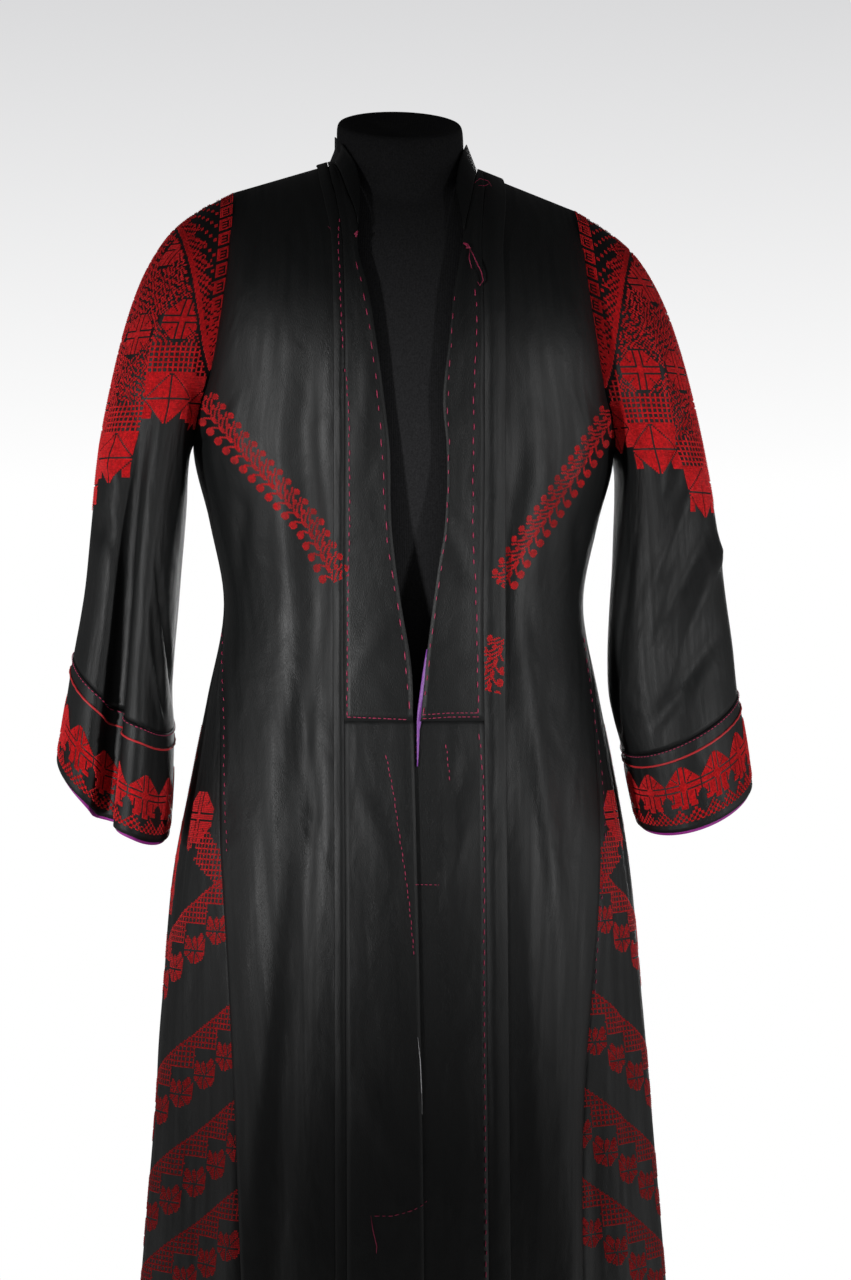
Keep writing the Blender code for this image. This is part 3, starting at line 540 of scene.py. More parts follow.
def woven_material(name, colour, roughness, streak_roughness, **others):
    """Satin-woven cloth: its roughness varies between the two values along upright streaks."""
    material, tree, shader = new_material(name, colour, roughness, **others)
    weave = add_node(tree, "ShaderNodeGroup", node_tree=satin_weave)
    tree.links.new(add_node(tree, "ShaderNodeUVMap", uv_map="metres").outputs["UV"], weave.inputs["UV"])
    vary = add_node(tree, "ShaderNodeMapRange", {"Value": weave.outputs["Streaks"], "From Min": 0.3,
                                                 "From Max": 0.7, "To Min": roughness,
                                                 "To Max": streak_roughness})
    tree.links.new(vary.outputs["Result"], shader.inputs["Roughness"])
    puckered = add_bump(tree, None, weave.outputs["Puckers"], 0.6, 0.0042)
    add_bump(tree, shader, weave.outputs["Height"], 0.5, 0.0004, under=puckered)
    return material


satin = woven_material("black_satin", (0.0040, 0.0044, 0.0045), 0.44, 0.64, Specular_IOR_Level=0.26)
TUCK = 0.004                # how far an edge goes under its neighbour at a seam
TUCK_DEPTH = 0.0011


def add_satin(name, node, grid, **others):
    """Thin shell of black satin that stands for a solid."""
    return add_cloth(name, node, grid, satin, "black_satin", **others)


# Fronts: satin, one on each side, each with a knife pleat pressed beside its band.
BAND_OUTER = 0.0620         # x of the stitched line along each front band
BAND_FLARE = 0.0080
Pleat = namedtuple("Pleat", "side sign fold_edge hidden_turn")
LEFT_PLEAT = Pleat("left", 1.0, 0.0815, 0.0665)
RIGHT_PLEAT = Pleat("right", -1.0, 0.0715, 0.0655)
FRONT_CREASES = body_creases([
    (-30, 1.23, -27, 0.95, 0.010, -0.004), (-24, 1.16, -23, 0.84, 0.007, 0.0025),
    (-40, 1.13, -44, 0.98, 0.012, 0.003), (-52, 1.12, -70, 1.02, 0.010, -0.003),
    (-34, 0.93, -26, 0.80, 0.008, -0.003), (-27, 0.90, -29, 0.55, 0.009, -0.004),
    (-33, 0.86, -38, 0.42, 0.010, 0.004), (30, 1.20, 27, 0.92, 0.010, -0.0035),
    (38, 1.16, 42, 0.99, 0.012, 0.003), (55, 1.10, 72, 1.03, 0.010, -0.003),
    (31, 0.92, 35, 0.60, 0.009, -0.004), (27, 0.84, 28, 0.40, 0.010, 0.0035),
    (47, 0.78, 44, 0.30, 0.012, 0.004), (-45, 0.70, -41, 0.20, 0.012, -0.004),
    (-58, 1.20, -50, 1.12, 0.009, 0.0025), (60, 1.21, 50, 1.12, 0.009, 0.0025),
])


def lift(level):
    """Raise the pleats and bands near the shoulder, where their layers lie on top of the form."""
    return 2 * LAYER * smoothstep(1.28, 1.37, level)


def band_outer(height):
    """x of the stitched line at a height: it flares out to the shoulder."""
    return BAND_OUTER + BAND_FLARE * smoothstep(1.33, RIDGE_HEIGHT, height)


def front_grid(pleat):
    """The front's surface: its pleat in cross-section, then the panel out to the side seam."""
    turns, radius = np.linspace(-math.pi / 2, math.pi / 2, 5), LAYER / 2
    start = BAND_OUTER + SEAM_GAP / 2
    pleat_x = np.concatenate([[start, (start + pleat.fold_edge) / 2],
                              pleat.fold_edge - radius + radius * np.cos(turns),
                              pleat.hidden_turn + radius - radius * np.cos(turns)])
    layers = np.concatenate([[0.0, 0.0], -0.5 - 0.5 * np.sin(turns), -1.5 - 0.5 * np.sin(turns)])
    shares = np.linspace(0.0, 1.0, 31)[1:] ** 1.15
    settle = 1.0 - smoothstep(0.0, 0.45, shares)
    levels = level_of(np.append(SKIRT_HEIGHTS, ARMHOLE_HEIGHTS))
    levels[-1] -= RIDGE_CLEARANCE
    rows = []
    for level, height in zip(levels, height_of(levels)):
        inner = body.angle_at(level, pleat_x + band_outer(height) - BAND_OUTER)
        last = seam_angle(height) - SEAM_GAP / 2 / body.half_width(height)
        turn = pleat.sign * np.concatenate([inner, inner[-1] + (last - inner[-1]) * shares])
        outward = np.concatenate([layers * LAYER + lift(level), settle * (lift(level) - 2 * LAYER)])
        outward[-1] -= SEAM_GAP
        ends = np.concatenate([np.zeros(len(inner)), smoothstep(0.0, 0.15, shares) *
                               (1.0 - smoothstep(0.85, 1.0, shares))])
        push = creased(np.degrees(turn) * METRES_PER_DEGREE, height, FRONT_CREASES)
        rows.append(body.at(level, turn, outward + push * ends))
    grid = np.array(rows)
    return grid if pleat.sign > 0 else grid[:, ::-1]


fronts = {}
for pleat in (LEFT_PLEAT, RIGHT_PLEAT):
    fronts[pleat.side] = add_satin("front_" + pleat.side, "front_panel_" + pleat.side, front_grid(pleat))


# Back: satin in one width, with deep soft folds from the waist down and pulls under the arms.
NECK_HOLE_DEGREES = [0.0, 9.0, 16.0, 20.5, 23.4, 25.2]
BACK_CREASES = body_creases([
    (-58, 1.12, -22, 1.02, 0.010, -0.003), (58, 1.12, 26, 1.01, 0.010, -0.003),
    (-10, 1.10, -13, 0.92, 0.012, -0.0035), (9, 1.08, 11, 0.90, 0.012, -0.0035),
    (-30, 1.03, -34, 0.85, 0.012, 0.004), (31, 1.02, 34, 0.84, 0.012, 0.004),
    (-3, 1.34, -16, 1.20, 0.014, 0.002), (22, 1.33, 12, 1.19, 0.014, 0.002),
    (-44, 0.80, -46, 0.30, 0.013, -0.004), (5, 0.78, 3, 0.30, 0.013, 0.004),
])
back_places = NECK_HOLE_DEGREES + list(np.linspace(29.0, 90.0, 17))
back_places = np.array([-place for place in back_places[:0:-1]] + back_places)


def neck_level(angle):
    """Level where the back meets the round neck hole, or the shoulder seam beyond it."""
    low, high = YOKE_HEIGHT, RIDGE_HEIGHT - RIDGE_CLEARANCE
    if np.hypot(*body.unleaned(high, angle)[:2]) >= NECK_HOLE_RADIUS:
        return high
    for _ in range(30):
        middle = (low + high) / 2
        inside = np.hypot(*body.unleaned(middle, angle)[:2]) <= NECK_HOLE_RADIUS
        low, high = (low, middle) if inside else (middle, high)
    return low


def back_row(levels, reach):
    """One row of the back, out to a reach in radians on both sides, with its creases."""
    turn = reach * back_places / 90.0
    push = creased(np.degrees(turn) * METRES_PER_DEGREE, levels, BACK_CREASES)
    push = push * (1 - smoothstep(80, 90, np.abs(back_places)))
    return body.at(levels, math.pi + turn, push)


tops = np.array([neck_level(angle) for angle in math.pi + np.radians(back_places)])
rows = []
for height in SKIRT_HEIGHTS:
    reach = seam_angle(height) - SEAM_GAP / 2 / body.half_width(height)
    rows.append(back_row(np.full(len(back_places), height), reach))
for level in level_of(ARMHOLE_HEIGHTS):
    share = (level - UNDERARM_HEIGHT) / (RIDGE_HEIGHT - UNDERARM_HEIGHT)
    rows.append(back_row(UNDERARM_HEIGHT + (tops - UNDERARM_HEIGHT) * share,
                         math.pi / 2 - SEAM_GAP / 2 / body.half_width(1.3)))
back_piece = add_satin("back", "back_panel", np.array(rows))


# Side gores: satin, flaring from the waist to the hem. Their grids also carry the embroidery.
GORE_TIP_HEIGHT = 1.046
GORE_CREASES = body_creases([
    (-84, 0.93, -76, 0.70, 0.010, -0.003), (-96, 0.86, -92, 0.50, 0.012, 0.004),
    (84, 0.95, 74, 0.72, 0.010, -0.003), (98, 0.86, 95, 0.48, 0.012, 0.004),
    (-66, 0.80, -60, 0.42, 0.010, -0.003), (64, 0.82, 58, 0.45, 0.010, -0.003),
])
gore_heights = np.append(np.arange(HEM_HEIGHT, GORE_TIP_HEIGHT - 0.004, ROW_STEP), GORE_TIP_HEIGHT)
gores, gore_grids = {}, {}
for side, sign in (("left", 1.0), ("right", -1.0)):
    rows = []
    shares = np.linspace(0.0, 1.0, 41)
    for height in gore_heights:
        start = seam_angle(height) - TUCK / body.half_width(height)
        turn = sign * (start + (math.pi - 2 * start) * shares)
        push = creased(np.degrees(turn) * METRES_PER_DEGREE, height, GORE_CREASES)
        push = push * smoothstep(0.0, 0.1, shares) * (1 - smoothstep(0.9, 1.0, shares))
        from_edge = body.half_width(height) * (math.pi - 2 * start) * np.minimum(shares, 1 - shares)
        push = push - TUCK_DEPTH * (1 - smoothstep(TUCK, TUCK + 0.006, from_edge))
        rows.append(body.at(np.full(len(shares), height), turn, push))
    grid = np.array(rows)
    gore_grids[side] = grid if sign > 0 else grid[:, ::-1]
    gores[side] = add_satin("gore_" + side, "side_gore_" + side, gore_grids[side])


# Front bands: satin strips along the opening, plain, the wearer's right one lapping over below the waist.
OVERLAP_INNER = -0.020
Edge = namedtuple("Edge", "height right left")
OPENING_EDGES = [
    Edge(0.911, -0.0018, 0.0046), Edge(0.945, -0.0018, 0.0085), Edge(0.974, -0.0046, 0.0115),
    Edge(1.005, -0.0100, 0.0155), Edge(1.042, -0.0156, 0.0205), Edge(1.081, -0.0202, 0.0262),
    Edge(1.158, -0.0230, 0.0276), Edge(1.191, -0.0267, 0.0246), Edge(1.246, -0.0340, 0.0300),
    Edge(1.296, -0.0414, 0.0360), Edge(1.330, -0.0490, 0.0430), Edge(1.356, -0.0480, 0.0480),
    Edge(1.385, -0.0565, 0.0565), Edge(1.405, -0.0625, 0.0625), Edge(1.416, -0.0675, 0.0675),
]
opening_edge = {"right": column(OPENING_EDGES, "right"), "left": column(OPENING_EDGES, "left")}
lap_edge = curve_through([0.035, 0.400, 0.600, 0.760, 0.911], [0.0060, 0.0050, 0.0035, 0.0010, -0.0018])
BAND_CREASES = [
    Crease(0.020, 1.10, 0.055, 1.02, 0.007, 0.0016), Crease(-0.020, 1.00, -0.056, 0.95, 0.007, 0.0015),
    Crease(0.050, 0.88, 0.015, 0.80, 0.006, -0.0018), Crease(0.048, 0.83, 0.020, 0.74, 0.006, 0.0018),
    Crease(-0.052, 0.86, -0.020, 0.78, 0.007, 0.0015), Crease(-0.050, 0.60, -0.015, 0.52, 0.008, 0.0015),
    Crease(0.045, 0.66, 0.018, 0.60, 0.006, -0.0014), Crease(-0.040, 1.25, -0.050, 1.12, 0.008, 0.0015),
]
bands = {}
for side, sign in (("left", 1.0), ("right", -1.0)):
    rows = []
    for height in np.append(np.arange(WAIST_SEAM_HEIGHT + SEAM_GAP, 1.400, 0.008), [1.405, 1.411, 1.4148]):
        level = float(level_of(height))
        inner = sign * opening_edge[side](height)
        across = inner + (band_outer(height) - SEAM_GAP / 2 - inner) * np.linspace(0.0, 1.0, 11)
        push = creased(sign * across, height, BAND_CREASES)
        rows.append(body.at(np.full(11, level), sign * body.angle_at(level, across), lift(level) + push))
    grid = np.array(rows) if sign > 0 else np.array(rows)[:, ::-1]
    bands["upper_" + side] = add_satin("band_upper_" + side, "front_band_upper_" + side, grid)
    rows = []
    for height in np.append(np.arange(HEM_HEIGHT, 0.905, ROW_STEP), [WAIST_SEAM_HEIGHT - 0.003,
                                                                    WAIST_SEAM_HEIGHT + TUCK]):
        outer = BAND_OUTER - SEAM_GAP / 2
        first, last = (OVERLAP_INNER, outer) if sign > 0 else (-outer, lap_edge(height))
        across = first + (last - first) * np.linspace(0.0, 1.0, 17)
        layers = -2.0 * (1.0 - smoothstep(0.014, 0.040, across)) if sign > 0 else np.zeros(17)
        push = creased(across, height, BAND_CREASES) * (smoothstep(0.012, 0.03, across) if sign > 0 else 1.0)
        push = push - TUCK_DEPTH * (height > WAIST_SEAM_HEIGHT)
        rows.append(body.at(np.full(17, height), body.angle_at(height, across), layers * LAYER + push))
    bands["lower_" + side] = add_satin("band_lower_" + side, "front_band_lower_" + side, np.array(rows))


# Purple lining: the strip that peeps out at the foot of the opening.
purple = woven_material("purple_lining", (0.19, 0.045, 0.30), 0.42, 0.55)
rows = []
lining_start = curve_through([0.872, 0.895, 0.915, 0.935, 0.955, 0.975],
                             [0.0014, 0.0016, 0.0020, 0.0045, 0.0075, 0.0108])
lining_width = curve_through([0.872, 0.890, 0.908, 0.930, 0.975], [0.0009, 0.0020, 0.0030, 0.0110, 0.0115])
for height in np.linspace(0.872, 0.975, 14):
    across = lining_start(height) + lining_width(height) * np.linspace(0.0, 1.0, 4)
    rows.append(body.at(np.full(4, height), body.angle_at(height, across), np.full(4, -LAYER)))
lining = add_cloth("opening_lining", "opening_facing", np.array(rows), purple, "purple_lining")


# Neck band: a low satin band that stands up from the neck seam and closes in on the neck.
NECK_BAND_WIDTH = 0.023
NECK_BAND_RADIUS = 0.0600
right, left = [], []
for height in np.linspace(1.350, 1.407, 9):
    level = float(level_of(height))
    for side, half in (("right", right), ("left", left)):
        angle = body.angle_at(level, opening_edge[side](height))
        half.append(body.at(level, angle, lift(level) + LAYER))
neck_turns = math.pi - np.radians(np.linspace(-25.2, 25.2, 41))
arc = [body.at(neck_level(turn), turn, LAYER + lift(RIDGE_HEIGHT) * abs(math.sin(turn)) / 0.42)
       for turn in neck_turns]
neck_seam = np.array(right + arc + left[::-1])
front_share = smoothstep(0.0, -0.090, neck_seam[:, 1])
middle = np.array([-0.0038, -0.004])
seam_run = run_of(neck_seam)
from_end = np.minimum(seam_run, seam_run[-1] - seam_run)
band_width = NECK_BAND_WIDTH * (0.12 + 0.88 * smoothstep(0.0, 0.045, from_end))
rows = []
for share in np.linspace(0.0, 1.0, 9):
    row, step = neck_seam.copy(), share * band_width
    radial = neck_seam[:, :2] - middle
    length = np.linalg.norm(radial, axis=1, keepdims=True)
    inward = (step * (0.40 + 0.50 * front_share))[:, None]
    row[:, :2] = middle + radial / length * np.maximum(length - inward, NECK_BAND_RADIUS)
    row[:, 2] += step * (0.98 - 0.45 * front_share)
    rows.append(row)
collar = add_satin("neck_band_cloth", "neck_band", np.array(rows))


# Sleeves: wide satin tubes from the armhole to the cuff, with elbow creases all round.
Ring = namedtuple("Ring", "outer_x outer_z inner_x inner_z half_depth middle_y pitch crease")
SLEEVE_RINGS = {
    "left": [
        Ring(0.1870, 1.3680, 0.1960, 1.1480, 0.066, 0.000, 0.00, 0.000),
        Ring(0.2140, 1.3450, 0.1980, 1.1300, 0.069, 0.000, 0.00, 0.000),
        Ring(0.2360, 1.3100, 0.1970, 1.1050, 0.070, 0.000, 0.00, 0.000),
        Ring(0.2520, 1.2680, 0.1950, 1.0780, 0.069, -0.002, 0.02, 0.000),
        Ring(0.2660, 1.2150, 0.1930, 1.0450, 0.067, -0.005, 0.04, 0.000),
        Ring(0.2790, 1.1500, 0.1900, 1.0080, 0.066, -0.008, 0.08, 0.000),
        Ring(0.2890, 1.0850, 0.1880, 0.9700, 0.066, -0.010, 0.12, 0.000),
        Ring(0.2960, 1.0250, 0.1885, 0.9350, 0.067, -0.012, 0.16, 0.000),
        Ring(0.3020, 0.9800, 0.1930, 0.9100, 0.068, -0.014, 0.20, 0.000),
        Ring(0.3060, 0.9380, 0.2000, 0.8830, 0.070, -0.016, 0.24, 0.000),
        Ring(0.3130, 0.8980, 0.2060, 0.8510, 0.071, -0.017, 0.26, 0.000),
        Ring(0.3190, 0.8560, 0.2130, 0.8170, 0.072, -0.018, 0.28, 0.000),
    ],
    "right": [
        Ring(0.1870, 1.3680, 0.1960, 1.1480, 0.066, 0.000, 0.00, 0.000),
        Ring(0.2140, 1.3450, 0.1980, 1.1300, 0.069, 0.000, 0.00, 0.000),
        Ring(0.2360, 1.3100, 0.1990, 1.1050, 0.070, 0.000, 0.00, 0.000),
        Ring(0.2520, 1.2680, 0.2010, 1.0780, 0.069, -0.002, 0.02, 0.002),
        Ring(0.2660, 1.2150, 0.2040, 1.0450, 0.067, -0.005, 0.06, 0.006),
        Ring(0.2790, 1.1500, 0.2070, 1.0080, 0.066, -0.008, 0.12, 0.012),
        Ring(0.2860, 1.0850, 0.2100, 0.9750, 0.066, -0.010, 0.18, 0.017),
        Ring(0.2910, 1.0350, 0.2120, 0.9450, 0.067, -0.010, 0.24, 0.020),
        Ring(0.2960, 1.0020, 0.2120, 0.9260, 0.068, -0.010, 0.28, 0.023),
        Ring(0.3020, 0.9690, 0.2110, 0.9060, 0.070, -0.010, 0.32, 0.026),
        Ring(0.3090, 0.9230, 0.2120, 0.8570, 0.071, -0.010, 0.34, 0.028),
        Ring(0.3170, 0.8760, 0.2150, 0.8100, 0.072, -0.010, 0.36, 0.030),
    ],
}
CUFF_FROM = 10              # index of the ring where the cuff is sewn on
CREASE_AT, CREASE_WIDTH = math.radians(76), math.radians(20)
SPLIT_DEPTH, SPLIT_WIDTH = 0.011, math.radians(11)      # the fold that parts the right sleeve's lower half
SPLIT_RIDGE, RIDGE_BESIDE, RIDGE_WIDTH = 0.004, 0.5, 0.25
SLEEVE_COLUMNS = 120
# Creases on a sleeve: u is metres round from its top line towards the front, v metres from the armhole.
SLEEVE_CREASES = {
    "left": [
        Crease(0.05, 0.20, 0.13, 0.16, 0.009, -0.004), Crease(0.02, 0.26, 0.16, 0.20, 0.010, 0.004),
        Crease(0.03, 0.32, 0.15, 0.25, 0.009, -0.005), Crease(0.00, 0.36, 0.12, 0.31, 0.010, 0.005),
        Crease(0.04, 0.41, 0.17, 0.29, 0.008, -0.004), Crease(0.07, 0.44, 0.16, 0.36, 0.010, 0.004),
        Crease(-0.03, 0.24, -0.15, 0.17, 0.010, -0.005), Crease(-0.02, 0.31, -0.16, 0.22, 0.010, 0.005),
        Crease(-0.04, 0.38, -0.17, 0.28, 0.010, -0.005), Crease(0.19, 0.12, 0.20, 0.30, 0.010, -0.004),
        Crease(-0.10, 0.30, -0.11, 0.46, 0.011, 0.005), Crease(0.10, 0.02, 0.09, 0.15, 0.012, 0.004),
        Crease(-0.10, 0.02, -0.09, 0.16, 0.012, -0.004),
    ],
    "right": [
        Crease(0.04, 0.21, 0.10, 0.17, 0.009, -0.004), Crease(0.01, 0.28, 0.09, 0.24, 0.010, 0.004),
        Crease(0.02, 0.35, 0.08, 0.29, 0.009, -0.005), Crease(0.15, 0.19, 0.20, 0.24, 0.009, -0.004),
        Crease(0.13, 0.27, 0.19, 0.31, 0.009, 0.004), Crease(0.14, 0.22, 0.17, 0.36, 0.009, -0.003),
        Crease(-0.03, 0.25, -0.15, 0.18, 0.010, -0.005), Crease(-0.02, 0.32, -0.16, 0.23, 0.010, 0.005),
        Crease(-0.05, 0.40, -0.16, 0.29, 0.010, -0.005), Crease(-0.11, 0.28, -0.12, 0.45, 0.011, 0.005),
        Crease(0.09, 0.02, 0.10, 0.15, 0.012, 0.004), Crease(-0.09, 0.03, -0.10, 0.16, 0.012, -0.004),
        Crease(0.05, 0.03, 0.02, 0.10, 0.010, -0.003),
    ],
}


def ring_normals(rings):
    """Outward directions across a tube of rings."""
    round_ = np.roll(rings, -1, axis=1) - np.roll(rings, 1, axis=1)
    normal = np.cross(round_, np.gradient(rings, axis=0))
    normal /= np.linalg.norm(normal, axis=-1, keepdims=True)
    return normal * np.sign(np.sum(normal * (rings - rings.mean(axis=1, keepdims=True)), axis=-1).mean())


def sleeve_tube(side):
    """The sleeve's outer surface down to the cuff's hem, in fine rings from the armhole."""
    turns = np.arange(SLEEVE_COLUMNS) * 2 * math.pi / SLEEVE_COLUMNS
    height = (UNDERARM_HEIGHT + RIDGE_HEIGHT) / 2 + (RIDGE_HEIGHT - UNDERARM_HEIGHT) / 2 * np.cos(turns)
    x = body.half_width(height)
    rings = [np.stack([x - CLOTH, -ARMHOLE_HALF_DEPTH * np.sin(turns), height - shoulder_drop(x, height)],
                      axis=-1)]
    for ring in SLEEVE_RINGS[side]:
        outer, inner = np.array([ring.outer_x, ring.outer_z]), np.array([ring.inner_x, ring.inner_z])
        away = np.abs((turns - CREASE_AT + math.pi) % (2 * math.pi) - math.pi)
        radius = 1.0 - ring.crease / ring.half_depth * np.exp(-(away / CREASE_WIDTH) ** 2)
        centre, arm = (outer + inner) / 2, (outer - inner) / 2
        rings.append(np.stack([centre[0] + arm[0] * np.cos(turns) * radius,
                               ring.middle_y - ring.half_depth * np.sin(turns) * radius,
                               centre[1] + arm[1] * np.cos(turns) * radius
                               - ring.pitch * ring.half_depth * np.sin(turns)], axis=-1))
    rings = np.array(rings)
    fine = []
    for index in np.linspace(0.0, CUFF_FROM, 76).tolist() + np.linspace(CUFF_FROM, CUFF_FROM + 2, 25)[1:].tolist():
        low = min(int(index), len(rings) - 2)
        before, after = max(low - 1, 0), min(low + 2, len(rings) - 1)
        t = index - low
        start = (rings[low + 1] - rings[before]) / (low + 1 - before)
        end = (rings[after] - rings[low]) / (after - low)
        fine.append((1 + 2 * t) * (1 - t) ** 2 * rings[low] + t * (1 - t) ** 2 * start
                    + t * t * (3 - 2 * t) * rings[low + 1] + t * t * (t - 1) * end)
    rings = np.array(fine)
    if side == "right":
        rings[..., 0] *= -1.0
    return lean(rings)


CUFF_ROW = 75               # row of the fine tube where the cuff is sewn on


def tube_arcs(rings):
    """Metres round each ring from its top line, positive towards the front, for every column."""
    steps = np.linalg.norm(np.roll(rings, -1, axis=1) - rings, axis=2)
    return np.concatenate([np.zeros((len(rings), 1)), np.cumsum(steps, axis=1)], axis=1)


def outward_order(rings, side):
    """Order a tube's rings so that its faces point out."""
    rings = rings[::-1]
    return rings[:, ::-1] if side == "left" else rings


sleeve_tubes, sleeves = {}, {}
for side in ("left", "right"):
    rings = sleeve_tube(side)
    arcs = tube_arcs(rings)
    u = arcs[:, :-1] - np.where(np.arange(SLEEVE_COLUMNS) > SLEEVE_COLUMNS / 2, arcs[:, -1:], 0.0)
    v = np.concatenate([np.zeros((1, SLEEVE_COLUMNS)),
                        np.cumsum(np.linalg.norm(np.diff(rings, axis=0), axis=2), axis=0)])
    push = creased(u, v, SLEEVE_CREASES[side])
    rows = np.arange(len(rings))[:, None]
    push = push * smoothstep(0, 6, rows) * (1.0 - smoothstep(CUFF_ROW - 8, CUFF_ROW - 1, rows))
    if side == "right":
        away = np.arange(SLEEVE_COLUMNS) * 2 * math.pi / SLEEVE_COLUMNS - CREASE_AT
        push = push - SPLIT_DEPTH * np.exp(-(away / SPLIT_WIDTH) ** 2) * smoothstep(16, 62, rows)
        ridge = np.exp(-((away - RIDGE_BESIDE) / RIDGE_WIDTH) ** 2)
        push = push + SPLIT_RIDGE * ridge * smoothstep(24, 62, rows)
    rings = rings + ring_normals(rings) * push[..., None]
    sleeve_tubes[side] = rings
    sleeve = rings[:CUFF_ROW + 1].copy()
    sleeve[-1] += (sleeve[-2] - sleeve[-1]) * 0.1
    sleeves[side] = add_cloth("sleeve_cloth_" + side, "sleeve_" + side, outward_order(sleeve, side), satin,
                              "black_satin", closed=True, offset=-1.0)


# Cuffs: satin bands sewn to the sleeves, with a magenta lining that shows as a thin edge at the hem.
FACING_SHOWS, FACING_DEPTH = 0.0025, 0.0120
magenta = woven_material("magenta_lining", (0.32, 0.022, 0.27), 0.42, 0.55)
cuffs, cuff_linings, cuff_tubes = {}, {}, {}
for side in ("left", "right"):
    rings = sleeve_tubes[side]
    normals = ring_normals(rings)
    cuff = rings[CUFF_ROW:] + normals[CUFF_ROW:] * SEAM_GAP
    cuff_tubes[side] = cuff
    cuffs[side] = add_cloth("cuff_cloth_" + side, "cuff_" + side, outward_order(cuff, side), satin,
                            "black_satin", closed=True, offset=-1.0)
    inside = rings - normals * (LAYER + (SEAM_GAP if side == "right" else 0.0))
    drop = inside[-1] - inside[-2]
    drop /= np.linalg.norm(drop, axis=-1, keepdims=True)
    lining_rows = np.array([inside[-1] + drop * step for step in np.linspace(-FACING_DEPTH, FACING_SHOWS, 5)])
    cuff_linings[side] = add_cloth("cuff_lining_" + side, "cuff_facing_" + side,
                                   outward_order(lining_rows, side), magenta, "magenta_facing",
                                   closed=True, offset=-1.0)


# Embroidery on the side gores: cross stitch in red thread, slanting lattice bands over rows of leaves.
STITCH = 0.00155            # one cross stitch
STITCH_RISE = 0.0006


def cross_stitch_group():
    """Shader group: one crossed stitch to each unit of UV, as a bump height and a shade for each stitch."""
    group, given, result = shader_group("cross_stitch", "UV", "Height", "Shade")
    within = add_node(group, "ShaderNodeVectorMath", {0: given.outputs["UV"]}, operation="FRACTION")
    parts = add_node(group, "ShaderNodeSeparateXYZ", {"Vector": within.outputs[0]})
    x, y = parts.outputs["X"], parts.outputs["Y"]

    def maths(operation, *values):
        return add_node(group, "ShaderNodeMath", dict(enumerate(values)), operation=operation).outputs[0]

    legs = []
    for combined in (maths("SUBTRACT", x, y), maths("SUBTRACT", maths("ADD", x, y), 1.0)):
        legs.append(maths("SUBTRACT", 1.0, maths("MULTIPLY", maths("ABSOLUTE", combined), 2.6)))
    height = maths("MAXIMUM", maths("MAXIMUM", *legs), 0.0)
    whole = add_node(group, "ShaderNodeVectorMath", {0: given.outputs["UV"]}, operation="FLOOR")
    noise = add_node(group, "ShaderNodeTexWhiteNoise", {"Vector": whole.outputs[0]}, noise_dimensions="2D")
    group.links.new(height, result.inputs["Height"])
    group.links.new(noise.outputs["Value"], result.inputs["Shade"])
    return group


cross_stitch = cross_stitch_group()


def stitch_material(name, dark, light):
    """Cotton thread in cross stitch, each stitch its own shade between dark and light."""
    material, tree, shader = new_material(name, light, 0.62, Sheen_Weight=0.03, Specular_IOR_Level=0.25)
    stitch = add_node(tree, "ShaderNodeGroup", node_tree=cross_stitch)
    tree.links.new(add_node(tree, "ShaderNodeUVMap", uv_map="stitches").outputs["UV"], stitch.inputs["UV"])
    shade = add_ramp(tree, stitch.outputs["Shade"], [(0.0, dark), (1.0, light)])
    tree.links.new(shade, shader.inputs["Base Color"])
    add_bump(tree, shader, stitch.outputs["Height"], 0.5, 0.0005)
    return material


red_stitches = stitch_material("red_stitches", (0.42, 0.005, 0.008), (0.74, 0.010, 0.015))


def looked_up(table, row, col, wrap=False):
    """Values of a grid between its points."""
    rows, cols = table.shape[:2]
    row = np.clip(row, 0, rows - 1.001)
    col = np.mod(col, cols) if wrap else np.clip(col, 0, cols - 1.001)
    r, c = np.floor(row).astype(int), np.floor(col).astype(int)
    dr, dc = row - r, col - c
    if table.ndim == 3:
        dr, dc = dr[..., None], dc[..., None]
    beside = (c + 1) % cols
    low = table[r, c] * (1 - dc) + table[r, beside] * dc
    high = table[r + 1, c] * (1 - dc) + table[r + 1, beside] * dc
    return low * (1 - dr) + high * dr


def grid_normals(grid):
    """Outward directions of an open grid on the body."""
    normal = np.cross(np.gradient(grid, axis=1), np.gradient(grid, axis=0))
    normal /= np.linalg.norm(normal, axis=-1, keepdims=True)
    outward = grid - grid.mean(axis=1, keepdims=True) * [0, 0, 1]
    return normal * np.sign(np.sum(normal * outward, axis=-1).mean())


def add_stitches(name, chart, place, material):
    """Every filled cell of a chart as a raised cross stitch. place gives points and normals at rows, columns."""
    i, j = np.nonzero(chart)
    points, normals = zip(*(place(i + a, j + b) for a, b in ((0, 0), (0, 1), (1, 1), (1, 0))))
    points, normals = np.array(points), np.array(normals)
    middle, up = points.mean(axis=0), normals.mean(axis=0)
    up /= np.linalg.norm(up, axis=-1, keepdims=True)
    base = middle + (points - middle) * 1.02 + normals * (STITCH_RISE * 0.45)
    top = middle + up * (STITCH_RISE + 0.0005)
    vertices = np.concatenate([base, top[None]]).transpose(1, 0, 2).reshape(-1, 3)
    first = np.arange(len(i))[:, None] * 5
    turns = np.array([[0, 1, 4], [1, 2, 4], [2, 3, 4], [3, 0, 4]])
    facing = np.sum(np.cross(base[1] - base[0], top - base[0]) * up, axis=-1).mean()
    if facing < 0:
        turns = turns[:, ::-1]
    faces = (first[:, :, None] + turns[None]).reshape(-1, 3)
    mesh = bpy.data.meshes.new(name)
    mesh.from_pydata(vertices.tolist(), [], faces.tolist())
    corner = np.array([[0, 0], [1, 0], [1, 1], [0, 1], [0.5, 0.5]]) * 0.96 + 0.02
    places = np.stack([j, i], axis=1)[:, None, None] + corner[turns][None]
    mesh.uv_layers.new(name="stitches").data.foreach_set("uv", places.ravel())
    mesh.shade_flat()
    return add_piece(name, mesh, material)


